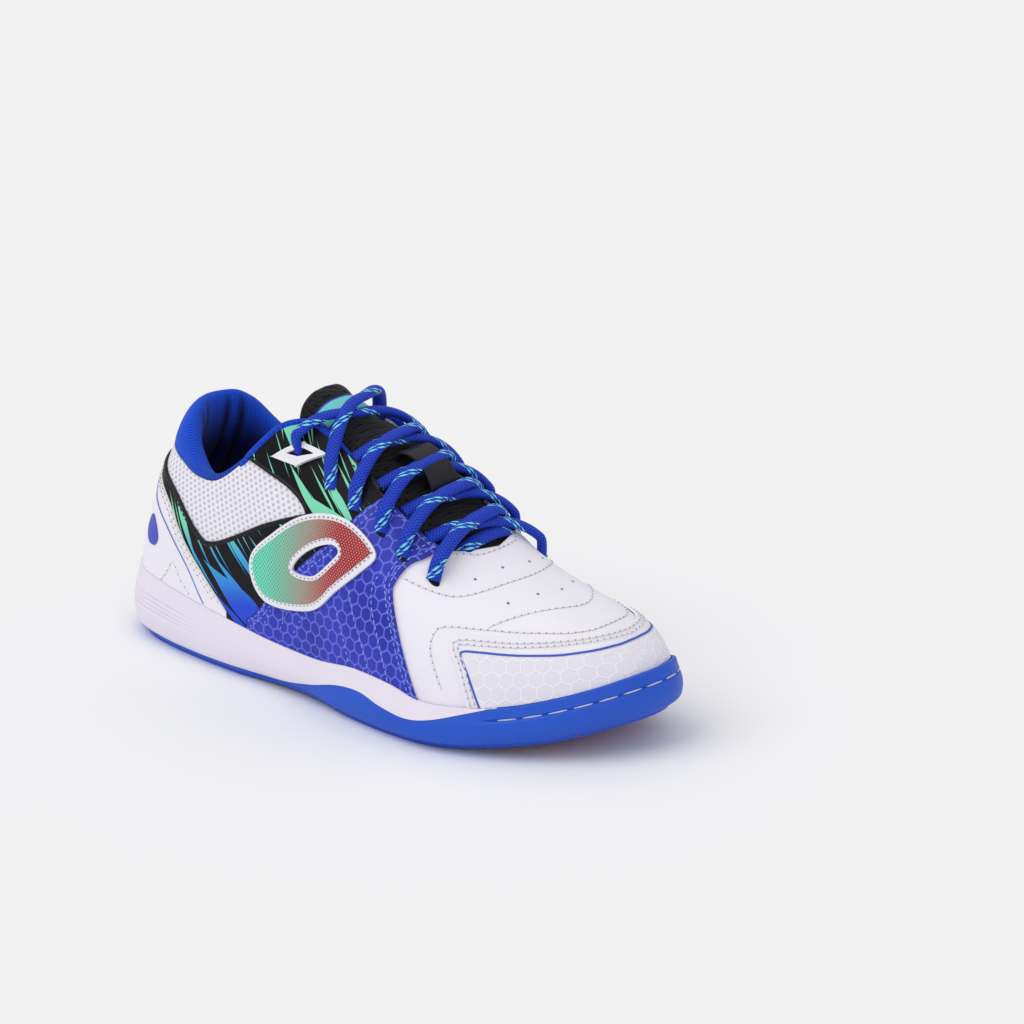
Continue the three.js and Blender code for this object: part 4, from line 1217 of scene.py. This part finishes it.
def laceKeeper():  # a smooth strap that arches over the laces in the middle of the tongue
    def place(u, v):
        at = mix(keeper["from"], keeper["to"], u)
        bow = keeper["arch"] * math.sin(math.pi * min(1, max(0, u))) ** keeper["full"]
        waist = 1 - keeper["waist"] * math.sin(math.pi * u)
        return upperPoint(at, 1 + keeper["half"] * waist * (2 * v - 1), tongueFace(at) + 0.5 + bow)
    bm = grid(60, 10, place, lambda u, v: (u * 30, v * 10))
    turnOut(bm)
    piece = finished("laceKeeperStrap", bm, darkStrap)
    thicken(piece, keeper["wall"])
    roundEdges(piece, keeper["round"], 30)
    return piece


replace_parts(laceKeeper(), "lace_keeper")


# Foot bed
bedForm = {"lowColumns": 20, "highColumns": 28, "lowInset": 0.4, "highInset": 0.2, "low": 0.15, "high": 3.0,
           "curl": 1.4}


def bedRing(at):
    inset = shoe["lip"] + shoe["wall"] + shoe["gap"]
    feather = featherAt(at)
    columns = bedForm["lowColumns"]
    low = [planPoint(at, -1 + 2 * k / columns, inset + bedForm["lowInset"], feather + bedForm["low"])
           for k in range(columns + 1)]
    columns = bedForm["highColumns"]
    shares = [1 - 2 * k / columns for k in range(columns + 1)]
    high = [planPoint(at, s, inset + bedForm["highInset"], feather + bedForm["high"] + bedForm["curl"] * abs(s) ** 6)
            for s in shares]
    return low + high


bed = ringBody("footBed", soleStations[::2], bedRing, shadedBedKnit,
               flat=lambda at, v: (at * shoe["length"], v * 90))
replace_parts(bed, "insole")
print("collar, tongue and foot bed made")


# Length, spacing and thickness of each kind of thread
threadSize = {"badge": (1.2, 2.3, 0.45), "overlay": (1.9, 2.6, 0.6), "quarter": (1.9, 2.5, 0.6),
              "leather": (2.0, 2.9, 0.6), "needle": (0.7, 2.9, 0.66)}

# Raised pieces: badge and lace loops
badgeForm = {"border": 2.6, "windowBorder": 2.0, "wall": 1.2, "crown": 0.5, "fieldSunk": 0.1, "stitchLift": 0.2,
             "stitchIn": 0.75, "windowStitchIn": 0.7}
badgeLine = closedLine([(0.335, 0.15), (0.385, 0.245), (0.455, 0.36), (0.53, 0.45), (0.593, 0.435), (0.575, 0.31),
                        (0.53, 0.18), (0.475, 0.09), (0.37, 0.075)])
badgeHole = closedLine([(0.432, 0.165), (0.447, 0.215), (0.508, 0.315), (0.525, 0.3), (0.482, 0.185)])
loopLine = closedLine([(0.363, 0.47), (0.3645, 0.479), (0.407, 0.597), (0.413, 0.601), (0.45, 0.622), (0.4505, 0.614),
                       (0.41, 0.494), (0.405, 0.489)])
loopSlit = closedLine([(0.388, 0.515), (0.389, 0.523), (0.409, 0.571), (0.413, 0.576), (0.43, 0.583), (0.429, 0.575),
                       (0.409, 0.533), (0.405, 0.528)])


def badge():
    border, inner = badgeForm["border"], badgeForm["windowBorder"]
    rim = panel("badgeBorder", [badgeLine, badgeHole], shoe["onPanels"], badgeForm["wall"], whitePad, "side_badge",
                rounding=0.5)
    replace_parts(rim, "side_badge")
    outer = moved(-1, badgeLine, -border, True)
    around = moved(-1, badgeHole, inner, True)
    panel("badgeField", [outer, around], shoe["onPanels"] + badgeForm["wall"] - badgeForm["fieldSunk"],
          badgeForm["crown"], badgeMesh, "side_badge", rounding=0.25)
    high = shoe["onPanels"] + badgeForm["wall"] + badgeForm["stitchLift"]
    rows = [(high, ring + ring[:1]) for ring in (moved(-1, badgeLine, badgeForm["stitchIn"] - border, True),
                                                 moved(-1, badgeHole, inner - badgeForm["windowStitchIn"], True))]
    stitches("badgeStitches", rows, threadGrey, "side_badge", *threadSize["badge"])


badge()
for side, word in sides:
    piece = panel("loop_" + word, [on(side, loopLine), on(side, loopSlit)], shoe["onPanels"], 2.0, whitePad,
                  "lace_loop", rounding=0.6)
    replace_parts(piece, "lace_loop_" + word)
panel("loopShadows", [on(side, moved(side, loopSlit, 0.5, True)) for side, _ in sides], shoe["onPanels"], 0.1,
      holeShade, "lace_loop", rounding=0.02)
print("badge and loops made")


# Stitching, printed lines and small marks
def seams():
    blackRows, blueRows, whiteRows, edgeRows = [], [], [], []
    for side, _ in sides:
        front = [p for p in panelFront if p[1] < 0.7]
        for aside in (1.4, 3.6):
            blueRows.append((top, on(side, moved(side, front, -aside))))
            blueRows.append((top, on(side, [p for p in moved(side, panelRear, -aside) if p[1] < 0.66])))
        for line in ([(0.365, 0.03), (0.389, 0.075)], [(0.401, 0.03), (0.425, 0.08)], [(0.431, 0.03), (0.463, 0.085)],
                     [(0.564, 0.03), (0.552, 0.065), (0.539, 0.105), (0.528, 0.14)],
                     [(0.612, 0.03), (0.594, 0.085), (0.572, 0.145), (0.556, 0.22)],
                     [(0.655, 0.03), (0.629, 0.142), (0.607, 0.233), (0.602, 0.308), (0.612, 0.40)]):
            blueRows.append((top, on(side, smoothLine(line))))
        blackRows.append((top, on(side, moved(side, alongEdge(side, 0.45, 0.545), -1.6))))
        blueRows.append((top, on(side, moved(side, alongEdge(side, 0.575, 0.665), -1.6))))
        blackRows.append((top, on(side, moved(side, meshEdge(side)[2:], -1.5))))
        for aside in (1.3, 3.2):
            whiteRows.append((top, on(side, [p for p in moved(side, counterLine, -aside) if p[1] > 0.035])))
        for low in ([(0.13, 0.045), (0.118, 0.03)], [(0.17, 0.045), (0.19, 0.03)]):
            whiteRows.append((top, on(side, [(0.145, 0.077)] + low)))
        edgeRows.append([(at, across, top - 0.35 + heelLift(at))
                         for at, across in on(side, moved(side, counterLine, -0.35))])
    for aside in (1.3, 3.1):
        whiteRows.append((top, moved(-1, bothSides(capEdge), -aside)))
    vampOuter = smoothLine([(0.751, 0.108), (0.735, 0.19), (0.72, 0.28), (0.723, 0.375), (0.745, 0.43), (0.79, 0.49),
                            (0.84, 0.56), (0.886, 0.664), (0.912, 0.82), (0.918, 1.0)])
    whiteRows.append((0.05, bothSides(vampOuter)))
    lip = [(at, edgeAt(at, -1) - 0.03) for at in (0.683, 0.69, 0.696)]
    for half in ([(0.64, 0.45), (0.687, 0.505), (0.731, 0.589), (0.762, 0.75), (0.78, 1.0)],
                 [(0.789, 0.5), (0.821, 0.671), (0.853, 0.86), (0.868, 1.0)],
                 lip + [(0.712, 0.88), (0.717, 1.0)]):
        whiteRows.append((0.05, smoothLine(bothSides(half))))
    stitches("overlayStitches", blueRows, threadBlue, "side_overlay", *threadSize["overlay"])
    stitches("quarterStitches", blackRows, threadBlack, "quarter_print", *threadSize["quarter"])
    stitches("leatherStitches", whiteRows, threadWhite, "vamp_leather", *threadSize["leather"])
    stitches("needleHoles", whiteRows, needleHole, "vamp_leather", *threadSize["needle"], 1)
    rope("counterCutEdge", edgeRows, 1.0, 0.9, cutEdge, "vamp_leather", 6)


def prints():
    line = [(0.035, 0.225), (0.055, 0.193), (0.085, 0.165), (0.135, 0.122), (0.182, 0.078), (0.216, 0.036),
            (0.226, 0.025)]
    routes = [[(at, across, top + heelLift(at)) for at, across in on(side, smoothLine(line))]
              for side, _ in sides]
    routes.append([(at, across, top) for at, across in bothSides(capLine)])
    rope("blueLines", routes, 0.85, 0.22, lineBlue, "vamp_leather", 6)
    drop = closedLine([(0.066, 0.148), (0.084, 0.13), (0.096, 0.105), (0.09, 0.087), (0.07, 0.088), (0.058, 0.108),
                       (0.058, 0.13)])
    panel("heelDrops", [on(side, drop) for side, _ in sides], top + heelLift(0), thin["drop"], bluePlate,
          "vamp_leather", rounding=0.1)
    rows = [(0.733, 0.725), (0.746, 0.901), (0.756, 1.053), (0.752, 1.2), (0.793, 0.702), (0.813, 0.873),
            (0.825, 1.007), (0.816, 1.15)]
    dots("vampPinholes", -0.05, rows, (1.5, 1.5, 0.3), threadGrey)


seams()
prints()
print("stitches and lines made")


# Laces
laceForm = {"at": [0.409, 0.47, 0.525, 0.582, 0.629, 0.685], "share": [0.64, 0.558, 0.553, 0.577, 0.576, 0.605],
            "forward": 0.03, "width": 6.2, "thick": 3.9, "start": 4.1, "under": 1.9, "over": 5.1,
            "end": -0.7, "stop": 0.72, "steps": 88, "around": 16, "sinkSteps": 6, "sink": 1.4,
            "loopStop": 0.545, "loopRise": 2.1, "loopSink": 1, "loopFrom": 0.95}
eyelet = {"long": 0.0115, "wide": 0.025, "aside": 0.006, "steps": 20, "sunk": 0.35, "wall": 0.1}


def laceRoute(side, low, high, middle):
    atOf = lambda k, hand: laceForm["at"][k] + (laceForm["forward"] if hand > 0 and k else 0)
    far, near = 2 - laceForm["share"][high], laceForm["share"][low]
    toLoop = high == 0
    stop, finish = laceForm["stop"], laceForm["end"]
    if toLoop:
        stop, finish = laceForm["loopStop"], laceForm["start"] + laceForm["loopRise"]
    whole = (2 - stop - near) / (far - near)
    points = []
    sinkSteps = laceForm["sinkSteps"]
    for k in range(-sinkSteps, laceForm["steps"] + 1):
        t = whole * k / laceForm["steps"]
        rising = mix(laceForm["start"], middle, smooth(0, 0.5, t))
        off = mix(rising, finish, smooth(0.55, whole, t))
        if k < sinkSteps:  # up out of the eyelet
            off = mix(shoe["onPanels"] - laceForm["sink"], off, smooth(-sinkSteps, sinkSteps, k))
        if toLoop:  # down into the loop's slit
            off = mix(off, shoe["onPanels"] - laceForm["loopSink"], smooth(laceForm["loopFrom"] * whole, whole, t))
        points.append((mix(atOf(low, side), atOf(high, -side), t), onSide(side, mix(near, far, t)), off))
    return points


def lace(name, route):
    return rope(name, [route], laceForm["width"], laceForm["thick"], laceBraid, "lace", laceForm["around"])


def laces():
    ends = []
    for k in range(1, len(laceForm["at"])):
        over = laceRoute(-1, k, k - 1, laceForm["over"])
        under = laceRoute(1, k, k - 1, laceForm["under"])
        name = "lace_" + str(k)
        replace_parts(lace(name + "_over", over), "lace_crossing_" + str(k))
        lace(name + "_under", under)
        ends += [over[0][:2], under[0][:2]]
    bar = [(0.691, 1 + 0.19 * (k / 20 - 1), laceForm["end"] + 0.6 - 3.4 * abs(k / 20 - 1) ** 5) for k in range(41)]
    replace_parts(lace("lace_bottom", bar), "lace_bar")
    turns = [2 * math.pi * k / eyelet["steps"] for k in range(eyelet["steps"])]
    for k, (at, across) in enumerate(ends):
        middle = across + (eyelet["aside"] if across < 1 else -eyelet["aside"])
        hole = [(at + eyelet["long"] * math.cos(a), middle + eyelet["wide"] * math.sin(a)) for a in turns]
        off = shoe["onPanels"] - eyelet["sunk"] if at < 0.66 else 0.02  # the last pair lies on the vamp
        # each eyelet hole is a dark sheet of painted shade round the lace's end
        panel("eyelet_" + str(k + 1), [hole], off, eyelet["wall"], holeShade, "quarter_print", rounding=0.02)


laces()
print("laces made")


# Floor, light and camera
stage = {"world": 0.54, "suns": (("key", (-0.5, -0.9, 1.3), 50, 1.03), ("top", (0.1, 0.3, 1.6), 80, 0.42),
                                 ("fill", (1.1, -0.7, 0.8), 60, 0.28))}  # from where, spread in degrees, power


def setStage():
    bm = bmesh.new()
    bmesh.ops.create_grid(bm, x_segments=1, y_segments=1, size=4)
    floorFinish = Finish("floor", Base_Color=tone(246, 246, 247), Roughness=0.75, Specular_IOR_Level=0.2)
    mesh = bpy.data.meshes.new("floor")
    bm.to_mesh(mesh)
    bm.free()
    floor = bpy.data.objects.new("floor", mesh)
    bpy.context.collection.objects.link(floor)
    mesh.materials.append(floorFinish.material)
    world = bpy.data.worlds.new("studio")
    bpy.context.scene.world = world
    world.use_nodes = True
    world.node_tree.nodes["Background"].inputs[0].default_value = (1, 1, 1, 1)
    world.node_tree.nodes["Background"].inputs[1].default_value = stage["world"]
    for name, spot, spread, power in stage["suns"]:
        data = bpy.data.lights.new(name, "SUN")
        data.angle, data.energy = math.radians(spread), power
        lamp = bpy.data.objects.new(name, data)
        lamp.location = spot
        lamp.rotation_euler = (-Vector(spot)).to_track_quat("-Z", "Y").to_euler()
        bpy.context.collection.objects.link(lamp)


photo = {"azimuth": 41, "elevation": 20.74, "distance": 1580.05, "focal": 3808.38, "target": Vector((134, 2, 44)),
         "pixel": (389.17, 580.58), "roll": 0.40, "frame": 1024}


def setCamera():
    azimuth, elevation = math.radians(photo["azimuth"]), math.radians(photo["elevation"])
    back = Vector((math.sin(azimuth) * math.cos(elevation), -math.cos(azimuth) * math.cos(elevation),
                   math.sin(elevation)))
    data = bpy.data.cameras.new("camera")
    data.sensor_width = 36
    data.lens = photo["focal"] * data.sensor_width / photo["frame"]
    data.shift_x = (photo["frame"] / 2 - photo["pixel"][0]) / photo["frame"]
    data.shift_y = (photo["pixel"][1] - photo["frame"] / 2) / photo["frame"]
    camera = bpy.data.objects.new("camera", data)
    camera.location = inFrame(photo["target"]) + back * photo["distance"] / 1000
    turn = (-back).to_track_quat("-Z", "Y").to_matrix() @ Matrix.Rotation(math.radians(-photo["roll"]), 3, "Z")
    camera.rotation_euler = turn.to_euler()
    bpy.context.collection.objects.link(camera)
    bpy.context.scene.camera = camera


setStage()
setCamera()
bpy.context.scene.view_settings.view_transform = "Standard"
print("stage set")
